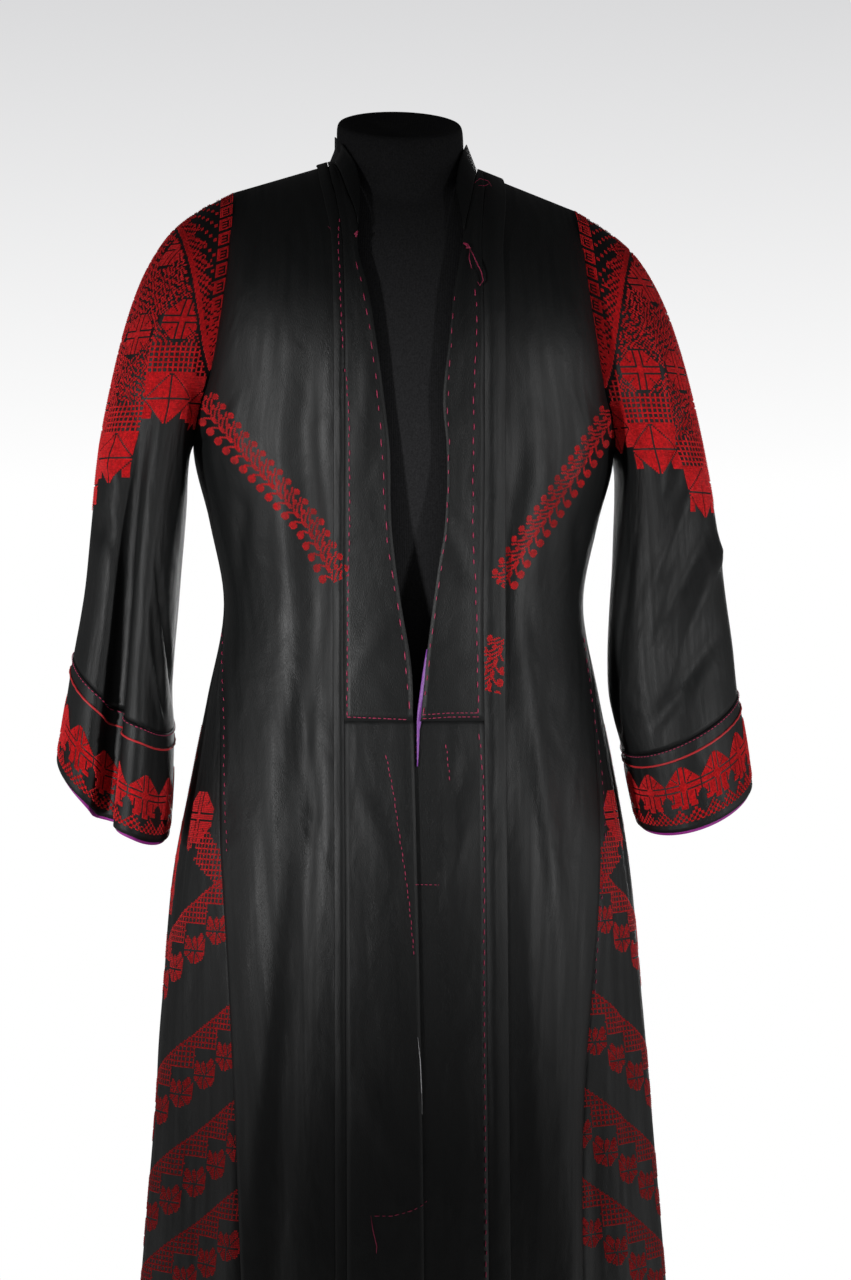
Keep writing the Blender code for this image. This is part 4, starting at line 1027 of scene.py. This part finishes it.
def stamp(chart, row, col, art, mirror=False):
    """Fill a chart's cells from rows of text, # for a stitch, with their lowest left corner at row, col."""
    for up, line in enumerate(reversed(art)):
        for across, mark in enumerate(reversed(line) if mirror else line):
            if mark == "#" and 0 <= row + up < chart.shape[0] and 0 <= col + across < chart.shape[1]:
                chart[row + up, col + across] = True


def lattice(i, j):
    """Square net: bars one stitch wide round holes of two by two."""
    return (i % 3 == 0) | (j % 3 == 0)


def octagon(i, j, radius):
    """Quartered eight-sided rosette round 0, 0: solid quarters between double dark lines."""
    x, y = np.abs(j), np.abs(i)
    shape = (np.maximum(x, y) <= radius) & (x + y <= radius * 1.42)
    lines = ((x == 2) & (y > 1)) | ((y == 2) & (x > 1))
    notches = (np.abs(x - y) <= 0) & (x > radius * 0.45)
    return shape & ~lines & ~notches


LEAF_STEM = [
    ".............##...",
    "............####..",
    ".##....#...#####..",
    ".###..###.######.#",
    "#####.###.#####.##",
    "#####.####.###.###",
    ".#####.###.##.####",
    "#.####.###.#.#####",
    "###.###.##..######",
    "#####.##.#.#######",
    ".................#",
    "#####.##..########",
    "####.###.#.#######",
    ".##.####.##.#####.",
    "...#####.###.####.",
    "....####.####.##..",
    ".....###.####.....",
    "......##.##.......",
]
BAND_FOOTS = {"right": [0.705, 0.577, 0.480, 0.393, 0.291, 0.195, 0.100, 0.005],
              "left": [0.713, 0.587, 0.489, 0.400, 0.300, 0.203, 0.107, 0.012]}
UNIT = 18                   # stitches across one step of a band, and RISE up it
RISE = 12


def gore_chart(side):
    """Half of a gore's chart, from its side line out to the seam: rows from the floor, columns outward."""
    chart = np.zeros((600, 160), bool)
    i, j = np.indices(chart.shape)
    across = j % UNIT
    step = j // UNIT
    for foot in BAND_FOOTS[side]:
        low = round(foot / STITCH) + step * RISE
        upper = low + across * RISE / UNIT
        lower = low - 9
        band = (i <= upper) & (i >= lower)
        rim = (i > upper - 1.2) | (i == lower) | (across == UNIT - 1)
        chart |= band & (rim | lattice(i - lower, across + 1))
        for count in range(chart.shape[1] // UNIT + 1):
            row, col = round(foot / STITCH) + count * RISE - 9, count * UNIT
            stamp(chart, row - 23, col + 1, LEAF_STEM)
            for drop in (0, 2, 4):
                if row - 1 - drop > 0:
                    stamp(chart, row - 1 - drop, col - 2 + drop // 2, ["#"])
    centre_row, centre_col = round(0.823 / STITCH), 33
    i, j = i - centre_row, j - centre_col
    legs = (i < -8) & (i < 4 - j * 0.9) & (i > -16 - (j + 15) * 0.54) & (j > -16)
    hole = np.abs(i + 21) + np.abs(j) < 6
    chart |= (legs & ~hole & lattice(i, j)) | octagon(i, j, 14)
    i, j = np.indices(chart.shape)
    spine = (j < 8) & (i > round(BAND_FOOTS[side][0] / STITCH) + 16) & (i < round(0.905 / STITCH))
    block = (i // 10) % 2 == 0
    chart |= spine & np.where(block, (np.abs(i % 10 - 5) + j < 8), lattice(i, j) & (j < 5))
    return chart


def gore_place(side):
    """Function from a gore's chart to points and normals on its cloth."""
    grid = gore_grids[side]
    normals = grid_normals(grid)
    middle = grid.shape[1] // 2
    steps = np.linalg.norm(np.diff(grid, axis=1), axis=2)
    arcs = np.concatenate([np.zeros((len(grid), 1)), np.cumsum(steps, axis=1)], axis=1)
    arcs -= arcs[:, middle:middle + 1]
    reach = np.arange(-170, 171) * STITCH
    columns = np.array([np.interp(reach, row, np.arange(len(row))) for row in arcs])

    def place(i, j):
        row = np.interp(i * STITCH, gore_heights, np.arange(len(gore_heights)))
        col = looked_up(columns, row, j)
        return looked_up(grid, row, col), looked_up(normals, row, col)

    i, j = np.indices((600, 340))
    row = np.interp((i + 0.5) * STITCH, gore_heights, np.arange(len(gore_heights)))
    edge_low = np.interp(row, np.arange(len(arcs)), arcs[:, 0]) + 0.003
    edge_high = np.interp(row, np.arange(len(arcs)), arcs[:, -1]) - 0.003
    s = (j + 0.5 - 170) * STITCH
    on_cloth = (s > edge_low) & (s < edge_high) & (i * STITCH > HEM_HEIGHT + 0.006)
    return place, on_cloth


gore_stitches = {}
for side in ("left", "right"):
    half = gore_chart(side)
    whole = np.zeros((600, 340), bool)
    whole[:, 170:330] = half
    whole[:, 10:170] |= half[:, ::-1]
    place, on_cloth = gore_place(side)
    gore_stitches[side] = add_stitches("gore_embroidery_" + side, whole & on_cloth, place,
                                       red_stitches)


# Embroidery on the sleeve heads: a wing of squares and chains along the armhole, a raised rib, and
# beyond it a field of upright blocks that ends in kites. Red cross stitch, all round the sleeve.
RIB_AT = curve_through([0.0, 0.024, 0.077, 0.101, 0.135, 0.166, 0.195],
                       [0.060, 0.056, 0.039, 0.032, 0.022, 0.013, 0.001])
BLOCK = 30                  # stitches across one block of the field
FIELD_TOP = 1.40
# Height of the lowest stitch of each block, from the sleeve's outer line round to the underarm.
BLOCK_FOOTS = {"left": [1.104, 1.093, 1.132, 1.152, 1.165, 1.170],
               "right": [1.100, 1.122, 1.176, 1.172, 1.165, 1.170]}
SQUARE = [
    "########.",
    "########.",
    "##....##.",
    "##.#####.",
    "##....##.",
    "##.#####.",
    "##....##.",
    "########.",
    ".........",
    ".........",
]


def wing_chart():
    """Half of the wing, from the sleeve's top line round to the underarm: rows outward from the armhole."""
    chart = np.zeros((44, 165), bool)
    i, j = np.indices(chart.shape)
    v, u = (i + 0.5) * STITCH, (j + 0.5) * STITCH
    rib = RIB_AT(np.minimum(u, 0.195))
    for count in range(12):
        for along, line in enumerate(SQUARE):
            for outward, mark in enumerate(line):
                chart[outward, count * len(SQUARE) + along] |= mark == "#"
    chain = (i >= 9) & ((j - (i - 9) * 2) % 10 < 4) & ((j - (i - 9) * 2) // 2 % 5 + i) % 3 != 0
    net = (v > rib - 0.011 - 0.004 * ((j // 5) % 3)) & ((i + j) % 4 != 0) & ((i - j) % 4 != 1)
    chart = (chart | chain | net) & (v < rib - 0.002)
    return (chart | (np.abs(v - rib) <= 0.0026)) & (u < 0.192)


def field_chart(side):
    """Half of the field, from the sleeve's outer line round to the underarm: rows down from FIELD_TOP."""
    chart = np.zeros((210, 150), bool)
    i, j = np.indices(chart.shape)
    block = (j + BLOCK // 2) // BLOCK
    foots = np.array([round((FIELD_TOP - foot) / STITCH) for foot in BLOCK_FOOTS[side]])
    up = foots[np.minimum(block, len(foots) - 1)] - 1 - i
    x = np.abs(j - block * BLOCK)
    kite = (x <= up) & ~((x == 0) & (up < 15)) & (up != 15)
    kite &= ~((up > 15) & (np.abs(x - (30 - up)) <= 0.6)) & ~((up > 15) & (x == 0))
    flap = (x > up + 1) & (x >= 10) & (up > 3) & (up < 15)
    ring = np.abs((j + 4) % 14 - 7) + np.abs((i + 3) % 14 - 7)
    speckle = ((i * 7 + j * 5) % 11 > 1) & ((i * 3 - j * 4) % 13 > 1)
    tile = (up - 48) // 26
    y = (up - 48) % 26 - 13
    halo = (x + np.abs(y) > 16) & ((x + np.abs(y)) % 3 != 0)
    rosettes = octagon(y, j - block * BLOCK, 11) | (halo & speckle)
    patch = np.where((tile + block) % 2 == 0, rosettes, (ring % 3 != 0) & speckle)
    field = np.where(up < 30, kite | flap, np.where(up < 48, lattice(up, x), patch))
    return field & (up >= 0)


def sleeve_places(side):
    """Two functions from charts to points and normals on the sleeve, for the wing and for the field."""
    grid = sleeve_tubes[side][:CUFF_ROW + 1]
    normals = ring_normals(grid)
    arcs = tube_arcs(grid)
    wide = np.concatenate([arcs[:, :-1] - arcs[:, -1:], arcs], axis=1)
    wide_columns = np.arange(-SLEEVE_COLUMNS, SLEEVE_COLUMNS + 1)
    reach = np.arange(-175, 176) * STITCH
    columns = np.array([np.interp(reach, row, wide_columns) for row in wide])
    along = np.concatenate([np.zeros((1, SLEEVE_COLUMNS)),
                            np.cumsum(np.linalg.norm(np.diff(grid, axis=0), axis=2), axis=0)])
    out = np.arange(0, 60) * STITCH
    rows = np.array([np.interp(out, line, np.arange(len(grid))) for line in along.T]).T

    def on_wing(i, j):
        row = np.full(np.shape(i), 5.0)
        for _ in range(8):
            col = looked_up(columns, row, j)
            row = looked_up(rows, np.asarray(i, float), col, wrap=True)
        return looked_up(grid, row, col, wrap=True), looked_up(normals, row, col, wrap=True)

    heights = FIELD_TOP - np.arange(0, 212) * STITCH
    level_rows = np.array([np.interp(-heights, np.maximum.accumulate(-line), np.arange(len(grid)))
                           for line in grid[..., 2].T]).T
    every = np.arange(SLEEVE_COLUMNS)
    level_columns = []
    for line in level_rows:
        points = looked_up(grid, line, every.astype(float))
        steps = np.linalg.norm((np.roll(points, -1, axis=0) - points)[:, :2], axis=1)
        arc = np.append(0.0, np.cumsum(steps))
        level_columns.append(np.interp(reach, np.append(arc[:-1] - arc[-1], arc), wide_columns))
    level_columns = np.array(level_columns)

    def found(i, j):
        col = looked_up(level_columns, i, j)
        return looked_up(level_rows, i, col, wrap=True), col

    def on_field(i, j):
        row, col = found(i, j)
        return looked_up(grid, row, col, wrap=True), looked_up(normals, row, col, wrap=True)

    def beyond_rib(i, j):
        row, col = found(i + 0.5, j + 0.5)
        share = np.mod(col, SLEEVE_COLUMNS)
        from_top = looked_up(arcs[:, :-1], np.zeros_like(row), share, wrap=True)
        from_top = np.minimum(from_top, arcs[0, -1] - from_top)
        out = looked_up(along, row, col, wrap=True)
        return (out > RIB_AT(np.minimum(from_top, 0.195)) + 0.006) & (row > 0.5)

    return on_wing, on_field, beyond_rib


def both_halves(half):
    """A chart mirrored about its first column, with that column in the middle of 350."""
    whole = np.zeros((half.shape[0], 350), bool)
    whole[:, 175:175 + half.shape[1]] = half
    whole[:, 175 - half.shape[1]:175] |= half[:, ::-1]
    return whole


sleeve_stitches = {}
for side in ("left", "right"):
    on_wing, on_field, beyond_rib = sleeve_places(side)
    field = both_halves(field_chart(side))
    field &= beyond_rib(*np.indices(field.shape))
    sleeve_stitches[side] = [
        add_stitches("sleeve_wing_" + side, both_halves(wing_chart()), on_wing, red_stitches),
        add_stitches("sleeve_field_" + side, field, on_field, red_stitches)]


# Embroidery on the cuffs: quartered rosettes over a zigzag of checks, round the whole cuff.
CUFF_STITCH = 0.00133
CUFF_PERIOD = 26
CUFF_REPEATS = 12


def cuff_chart():
    """One turn of the cuff's chart: rows up from the hem."""
    chart = np.zeros((48, CUFF_PERIOD * CUFF_REPEATS), bool)
    i, j = np.indices(chart.shape)
    x, y = j % CUFF_PERIOD - CUFF_PERIOD // 2, i - 28
    zigzag = 15 - np.abs(j % 13 - 6)
    checks = (i // 2 + j // 2) % 2 == 0
    chart |= (i >= 5) & (i < zigzag) & checks
    across, up = np.abs(x), np.abs(y)
    side_slope = np.where(y > 0, 15 - y * 0.95, 15 + y * 0.75)
    rosette = (across <= np.minimum(12, side_slope)) & (y <= 13) & (y >= -11)
    lines = ((across == 2) & (up > 2)) | ((up == 2) & (across > 2))
    lines |= (np.abs(across - up) <= 0.5) & (up > 3) & (y > 0)
    lines |= (across == 8) & (y < -3)
    chart |= rosette & ~lines
    for middle, height in ((-6, 16), (1, 15), (8, 17)):
        chart |= (np.abs(x - middle) <= 2) & (np.abs(i - height) <= 1)
    return chart


cuff_stitches = {}
for side in ("left", "right"):
    grid = cuff_tubes[side][::-1]
    normals = ring_normals(grid)
    drop = np.concatenate([[0.0], np.cumsum(np.linalg.norm(np.diff(grid, axis=0), axis=2).mean(axis=1))])
    arcs = tube_arcs(grid)
    shares = arcs / arcs[:, -1:]

    def place(i, j):
        row = np.interp(i * CUFF_STITCH, drop, np.arange(len(drop)))
        round_ = np.asarray(j, float) / (CUFF_PERIOD * CUFF_REPEATS)
        col = np.interp(round_ % 1.0, shares[len(grid) // 2], np.arange(SLEEVE_COLUMNS + 1))
        return looked_up(grid, row, col, wrap=True), looked_up(normals, row, col, wrap=True)

    cuff_stitches[side] = add_stitches("cuff_embroidery_" + side, cuff_chart(), place, red_stitches)


# Embroidery on the chest: two slanting vines of leaves and buds from the underarms to the bands, and
# the piece of the left one that shows on the pleat lower down. Red cross stitch on the fronts only.
VINE_STITCH = 0.00125
VINE = [
    "..###....",
    ".#####...",
    ".#####.#.",
    "..###.##.",
    "...#.##..",
    "..##.#...",
    ".##.##.##",
    "##..#####",
    "#..##.###",
    "..##..##.",
    ".##..##..",
    "##.###.##",
    "####.####",
    "###...###",
    "..##.....",
    "...##....",
    "....##...",
    "..####...",
    ".######..",
    ".######..",
    ".######..",
    "..####...",
]
# Middle line of each vine on the front view, x and z in metres, from the outer end.
VINE_PATHS = {
    "right": [(-0.187, 1.200), (-0.177, 1.186), (-0.153, 1.155), (-0.1225, 1.1205), (-0.0915, 1.084),
              (-0.067, 1.035)],
    "left": [(0.186, 1.190), (0.1795, 1.179), (0.1575, 1.147), (0.1285, 1.106), (0.100, 1.0675),
             (0.0775, 1.030)],
    "left_pleat": [(0.0800, 0.984), (0.0700, 0.962), (0.0640, 0.938)],
}


def surface_of(pieces):
    """Function from x and z on the front view to the nearest point and normal of the cloth there."""
    vertices, faces = [], []
    for piece in pieces:
        first = len(vertices)
        vertices += [vertex.co.copy() for vertex in piece.data.vertices]
        faces += [[first + index for index in face.vertices] for face in piece.data.polygons]
    tree = BVHTree.FromPolygons(vertices, faces)

    def at(x, z):
        place, normal, _, _ = tree.ray_cast(Vector((x, -1.0, z)), Vector((0.0, 1.0, 0.0)))
        if place is None or place.y > 0.02:
            return None, None
        return place, normal if normal.y < 0 else -normal

    return at


front_cloth = surface_of(list(fronts.values()) + list(bands.values()) + list(gores.values()) + [collar])


def vine_place(path):
    """Function from a vine's chart to points and normals on the front."""
    path = np.array(path)
    lengths = run_of(path)
    heading = np.gradient(path, lengths, axis=0)
    heading /= np.linalg.norm(heading, axis=1, keepdims=True)

    def place(i, j):
        s = np.asarray(j) * VINE_STITCH
        along = np.stack([np.interp(s, lengths, path[:, k]) for k in (0, 1)], axis=1)
        turn = np.stack([np.interp(s, lengths, heading[:, k]) for k in (0, 1)], axis=1)
        up = np.stack([turn[:, 1], -turn[:, 0]], axis=1)
        up *= np.sign(up[:, 1:])
        flat = along + up * ((np.asarray(i) - len(VINE) / 2) * VINE_STITCH)[:, None]
        points, normals = [], []
        for x, z in flat:
            point, normal = front_cloth(x, z)
            points.append(point if point else (np.nan,) * 3)
            normals.append(normal if normal else (0.0, -1.0, 0.0))
        return np.array(points), np.array(normals)

    return place, int(lengths[-1] / VINE_STITCH)


vines = {}
for name, path in VINE_PATHS.items():
    place, length = vine_place(path)
    chart = np.zeros((len(VINE), length), bool)
    for repeat in range(length // 9 + 1):
        stamp(chart, 0, repeat * 9, VINE, mirror=name == "right")
    i, j = np.indices(chart.shape)
    seen = np.all([~np.isnan(place((i + a).ravel(), (j + b).ravel())[0][:, 0]) for a in (0, 1) for b in (0, 1)],
                  axis=0)
    if name == "left_pleat":
        across = place((i + 0.5).ravel(), (j + 0.5).ravel())[0][:, 0]
        seen &= (across > BAND_OUTER + 0.001) & (across < LEFT_PLEAT.fold_edge - 0.001)
    vines[name] = add_stitches("chest_vine_" + name, chart & seen.reshape(chart.shape), place, red_stitches)


# Hand sewing: running and tacking stitches in pink and red thread along the seams, bands and hems.
Sewing = namedtuple("Sewing", "name dash gap radius points")
pink_thread, _, _ = new_material("pink_thread", (0.33, 0.012, 0.065), 0.6, Sheen_Weight=0.05)
red_thread, _, _ = new_material("red_thread", (0.42, 0.007, 0.012), 0.6, Sheen_Weight=0.05)
# Stitch lines on the front view, x and z in millimetres.
SEWN = [
    Sewing("band_seam_right", 4.0, 3.2, 0.45, [(-64, 1366), (-66, 1332), (-65, 1298), (-64.5, 1259), (-62, 1230),
           (-59.5, 1205), (-58, 1182), (-57.5, 1135), (-57, 1080), (-58, 1036), (-58.5, 974), (-59.5, 916)]),
    Sewing("band_edge_right", 6.0, 8.5, 0.45, [(-50.5, 1318), (-46, 1296), (-41.5, 1270), (-37, 1235), (-34, 1208),
           (-31.5, 1182), (-29, 1150), (-26.5, 1100), (-22.8, 1060), (-16.5, 1025), (-10.5, 985), (-6, 940),
           (-5, 918)]),
    Sewing("band_seam_left", 5.5, 6.5, 0.5, [(54.5, 1294), (55.5, 1261), (54, 1237), (52, 1198), (52, 1166),
           (51.5, 1135), (52, 1070), (55, 1026), (56, 987), (56.5, 916)]),
    Sewing("band_seam_left_low", 4.5, 4.5, 0.45, [(57, 900), (60, 863), (60.5, 809), (59.5, 685), (59.4, 554),
           (59.4, 429), (59.4, 250), (59.4, 45)]),
    Sewing("band_edge_left", 5.0, 9.0, 0.4, [(36.5, 1300), (32, 1246), (28.5, 1191), (30, 1158), (28.5, 1081),
           (23, 1042), (18, 1005), (13.8, 974), (10.6, 945), (7, 918)]),
    Sewing("waist_right", 3.0, 1.4, 0.45, [(-59, 915), (-33, 914), (-6, 912.8)]),
    Sewing("waist_left", 3.0, 1.4, 0.40, [(7, 913.5), (31, 915), (57, 915)]),
    Sewing("waist_left_upper", 2.6, 1.6, 0.40, [(7, 917.0), (31, 918.5), (57, 918.5)]),
    Sewing("overlap_stitches", 3.4, 2.0, 0.4, [(-25.8, 882), (-19, 846), (-15.8, 820), (-10.8, 786), (-6.6, 754),
           (-2.4, 708)]),
    Sewing("short_stitches", 3.0, 2.6, 0.4, [(27.4, 891), (30.6, 858)]),
    Sewing("bar_stitches", 2.4, 1.6, 0.4, [(-0.3, 768.5), (20.2, 768)]),
    Sewing("low_stitches", 3.6, 2.2, 0.4, [(-37.6, 482), (-22, 482), (-3.7, 487), (8, 494)]),
    Sewing("side_seam_right", 3.4, 5.0, 0.45, [(-166.5, 990), (-167, 950), (-165.8, 915), (-166, 869), (-165.5, 832),
           (-163.6, 794)]),
    Sewing("side_seam_left", 3.8, 5.5, 0.45, [(162, 985), (163.5, 965), (166.5, 936), (169.8, 912), (173, 881),
           (175.2, 855), (176, 832), (176, 803), (171, 746), (165.6, 700), (163.5, 660)]),
    Sewing("lining_edge", 2.0, 3.0, 0.3, [(1.4, 900), (0.6, 876)]),
]
# Loose ends and knots, and a pale thread along the lap's free edge that is a painted highlight: a path on the front
# view in millimetres, each with how far it stands off the cloth.
LooseEnd = namedtuple("LooseEnd", "name radius points")
LOOSE = [
    LooseEnd("knot_right", 1.5, [(-51.5, 1343, 1.2), (-49, 1345, 2.0), (-47.5, 1342, 1.4), (-50, 1340.5, 1.6)]),
    LooseEnd("knot_left", 1.5, [(45.5, 1336, 1.4), (48, 1334, 2.4), (50.5, 1331, 2.0), (47.5, 1331.5, 1.4)]),
    LooseEnd("loop_left", 0.45, [(50.5, 1331, 2.0), (53, 1324, 4.0), (55.5, 1317, 4.5), (60, 1308, 3.5),
                                 (61.5, 1301, 2.5), (58.5, 1296.5, 2.0), (56.5, 1300, 2.2)]),
    LooseEnd("end_left", 0.4, [(51, 1330, 1.8), (49.5, 1321, 3.0), (51.5, 1312, 2.5)]),
    LooseEnd("wisp_shoulder_a", 0.3, [(60, 1396, 1.0), (65, 1398, 4.5), (71, 1395, 5.5), (75, 1392, 3.0)]),
    LooseEnd("wisp_shoulder_b", 0.3, [(64, 1394, 1.0), (68, 1391, 4.0), (72, 1392.5, 5.0)]),
    LooseEnd("hanging_thread", 0.35, [(-41, 482, 1.0), (-39.3, 470, 1.6), (-36, 456, 1.4), (-36.5, 450, 1.2)]),
    LooseEnd("stray_right", 0.4, [(-74, 1352, 0.9), (-72, 1349, 1.2)]),
    # A pale grey thread along the lap's free edge: a painted highlight, standing for the glint of light on that
    # edge.
    LooseEnd("glint_edge_thread", 0.35, [(0.5, 636, 0.8), (2.6, 615, 0.8), (3.4, 592, 0.8), (4.2, 569, 0.8)]),
]


def add_threads(name, paths, radius, material, sides=5):
    """Short lengths of thread, each a thin tube along its own path, thinner at its two ends."""
    vertices, faces = [], []
    for path in paths:
        path = np.array(path, float)
        heading = np.gradient(path, axis=0)
        heading /= np.linalg.norm(heading, axis=1, keepdims=True)
        across = np.cross(heading, np.array([0.31, -0.24, 0.92]))
        across /= np.linalg.norm(across, axis=1, keepdims=True)
        other = np.cross(heading, across)
        first = len(vertices)
        for number, (point, side, up) in enumerate(zip(path, across, other)):
            thin = 0.45 if number in (0, len(path) - 1) else 1.0
            for turn in np.arange(sides) * 2 * math.pi / sides:
                vertices.append(point + (side * math.cos(turn) + up * math.sin(turn)) * radius * thin)
        for ring in range(len(path) - 1):
            for turn in range(sides):
                here, beside = first + ring * sides + turn, first + ring * sides + (turn + 1) % sides
                faces.append((here, beside, beside + sides, here + sides))
        last = first + (len(path) - 1) * sides
        faces += [tuple(range(first, first + sides))[::-1], tuple(range(last, last + sides))]
    mesh = bpy.data.meshes.new(name)
    mesh.from_pydata([tuple(vertex) for vertex in vertices], [], faces)
    mesh.shade_smooth()
    return add_piece(name, mesh, material)


def sewn_dashes(line):
    """Each stitch of a sewn line as a short path that dips into the cloth at both ends."""
    points = np.array(line.points) / 1000
    lengths = run_of(points)
    paths, start, number = [], 0.0, 0
    while start < lengths[-1]:
        number += 1
        uneven = 1.0 + 0.25 * math.sin(number * 2.3)
        dash = line.dash * uneven / 1000
        path = []
        for share, rise in ((0.0, -0.1), (0.25, 0.9), (0.75, 0.9), (1.0, -0.1)):
            s = start + dash * share
            x, z = (np.interp(s, lengths, points[:, k]) for k in (0, 1))
            wobble = 0.0004 * math.sin(number * 4.1)
            place, normal = front_cloth(x + wobble, z)
            if place:
                path.append(np.array(place + normal * (0.0004 + rise * line.radius / 1000)))
        if len(path) == 4:
            paths.append(path)
        start += dash + line.gap * (2.0 - uneven) / 1000
    return paths


sewing = {line.name: add_threads("sewn_" + line.name, sewn_dashes(line), line.radius / 1000, pink_thread)
          for line in SEWN}
# Pale grey thread: a painted highlight for the glint of light along the lap's free edge.
glint_thread, _, _ = new_material("glint_thread", (0.55, 0.55, 0.56), 0.4)
loose = {}
for end in LOOSE:
    path = []
    for x, z, off in end.points:
        place, normal = front_cloth(x / 1000, z / 1000)
        if place:
            path.append(np.array(place + normal * off / 1000))
    material = glint_thread if end.name == "glint_edge_thread" else pink_thread
    if len(path) > 1:
        loose[end.name] = add_threads(end.name, [path], end.radius / 1000, material, sides=6)


# Cuff sewing: pink stitches at each cuff's seam and a thick couched red cord a little below it.
CORD_BELOW_SEAM = 0.0115
for side in ("left", "right"):
    tube = cuff_tubes[side]
    normals = ring_normals(tube)
    drop = np.cumsum(np.linalg.norm(np.diff(tube, axis=0), axis=2).mean(axis=1))
    turns = np.linspace(0.0, SLEEVE_COLUMNS, 301)
    row = np.full(301, 1.0 + np.searchsorted(drop, CORD_BELOW_SEAM))
    cord_line = looked_up(tube, row, turns, wrap=True) + looked_up(normals, row, turns, wrap=True) * 0.0006
    cord_line = cord_line + looked_up(normals, row, turns, wrap=True) * 0.0002 * np.sin(turns * 1.9)[:, None]
    sewing["cord_" + side] = add_threads("cuff_cord_" + side, [cord_line], 0.0010, red_thread, sides=6)
    paths = []
    for start in np.arange(0.0, SLEEVE_COLUMNS, 1.25):
        turn = start + np.array([0.0, 0.2, 0.6, 0.8])
        row = np.full(4, 0.6)
        rise = np.array([-0.0001, 0.0006, 0.0006, -0.0001])[:, None] + 0.0002
        paths.append(looked_up(tube, row, turn, wrap=True) + looked_up(normals, row, turn, wrap=True) * rise)
    sewing["cuff_seam_" + side] = add_threads("sewn_cuff_seam_" + side, paths, 0.00045, pink_thread)


# Cloth: the flat size that each sheet was cut to, in metres, its area, and what lies on it.
Cut = namedtuple("Cut", "piece width length area held rests_on on_it")
thread_on = {**sewing, **loose}


def threads(*names):
    """The sewn and loose threads whose names are given."""
    return [thread_on[name] for name in names if name in thread_on]


CUTS = [
    Cut(fronts["left"], 0.240, 1.445, 0.217, "draped", ["dress_form_torso"],
        [vines["left"], vines["left_pleat"]] + threads("side_seam_left", "wisp_shoulder_a", "wisp_shoulder_b")),
    Cut(fronts["right"], 0.220, 1.450, 0.191, "draped", ["dress_form_torso"],
        [vines["right"]] + threads("side_seam_right", "stray_right")),
    Cut(back_piece, 0.500, 1.442, 0.510, "draped", ["dress_form_torso"], []),
    Cut(gores["left"], 0.466, 1.032, 0.293, "hung", ["front_left", "back"], [gore_stitches["left"]]),
    Cut(gores["right"], 0.472, 1.033, 0.295, "hung", ["front_right", "back"], [gore_stitches["right"]]),
    Cut(bands["upper_left"], 0.058, 0.562, 0.0178, "draped", ["front_left", "band_lower_left"],
        threads("band_seam_left", "band_edge_left", "waist_left", "waist_left_upper", "knot_left", "loop_left",
                "end_left")),
    Cut(bands["upper_right"], 0.061, 0.567, 0.0187, "draped", ["front_right", "band_lower_right"],
        threads("band_seam_right", "band_edge_right", "waist_right", "knot_right")),
    # The lower left band also carries the pale thread that paints a highlight along the lap's edge.
    Cut(bands["lower_left"], 0.083, 0.883, 0.0724, "hung", ["front_left"],
        threads("band_seam_left_low", "short_stitches", "bar_stitches", "glint_edge_thread")),
    Cut(bands["lower_right"], 0.068, 0.883, 0.0582, "hung", ["front_right"],
        threads("overlap_stitches", "low_stitches", "hanging_thread")),
    Cut(lining, 0.0115, 0.105, 0.0009, "hung", ["band_upper_left", "band_lower_left"], threads("lining_edge")),
    Cut(collar, 0.485, 0.024, 0.0086, "gathered", ["back", "band_upper_left", "band_upper_right"], []),
]
for side in ("left", "right"):
    armhole, arm_length, arm_area = {"left": (0.559, 0.485, 0.147), "right": (0.573, 0.470, 0.137)}[side]
    hem, cuff_width, cuff_area = {"left": (0.417, 0.084, 0.0303), "right": (0.440, 0.099, 0.0375)}[side]
    CUTS += [
        Cut(sleeves[side], armhole, arm_length, arm_area, "hung", ["front_" + side, "back"], sleeve_stitches[side]),
        Cut(cuffs[side], hem, cuff_width, cuff_area, "hung", ["sleeve_cloth_" + side],
            [cuff_stitches[side]] + threads("cord_" + side, "cuff_seam_" + side)),
        Cut(cuff_linings[side], hem, 0.015, 0.0057, "hung", ["cuff_cloth_" + side], []),
    ]
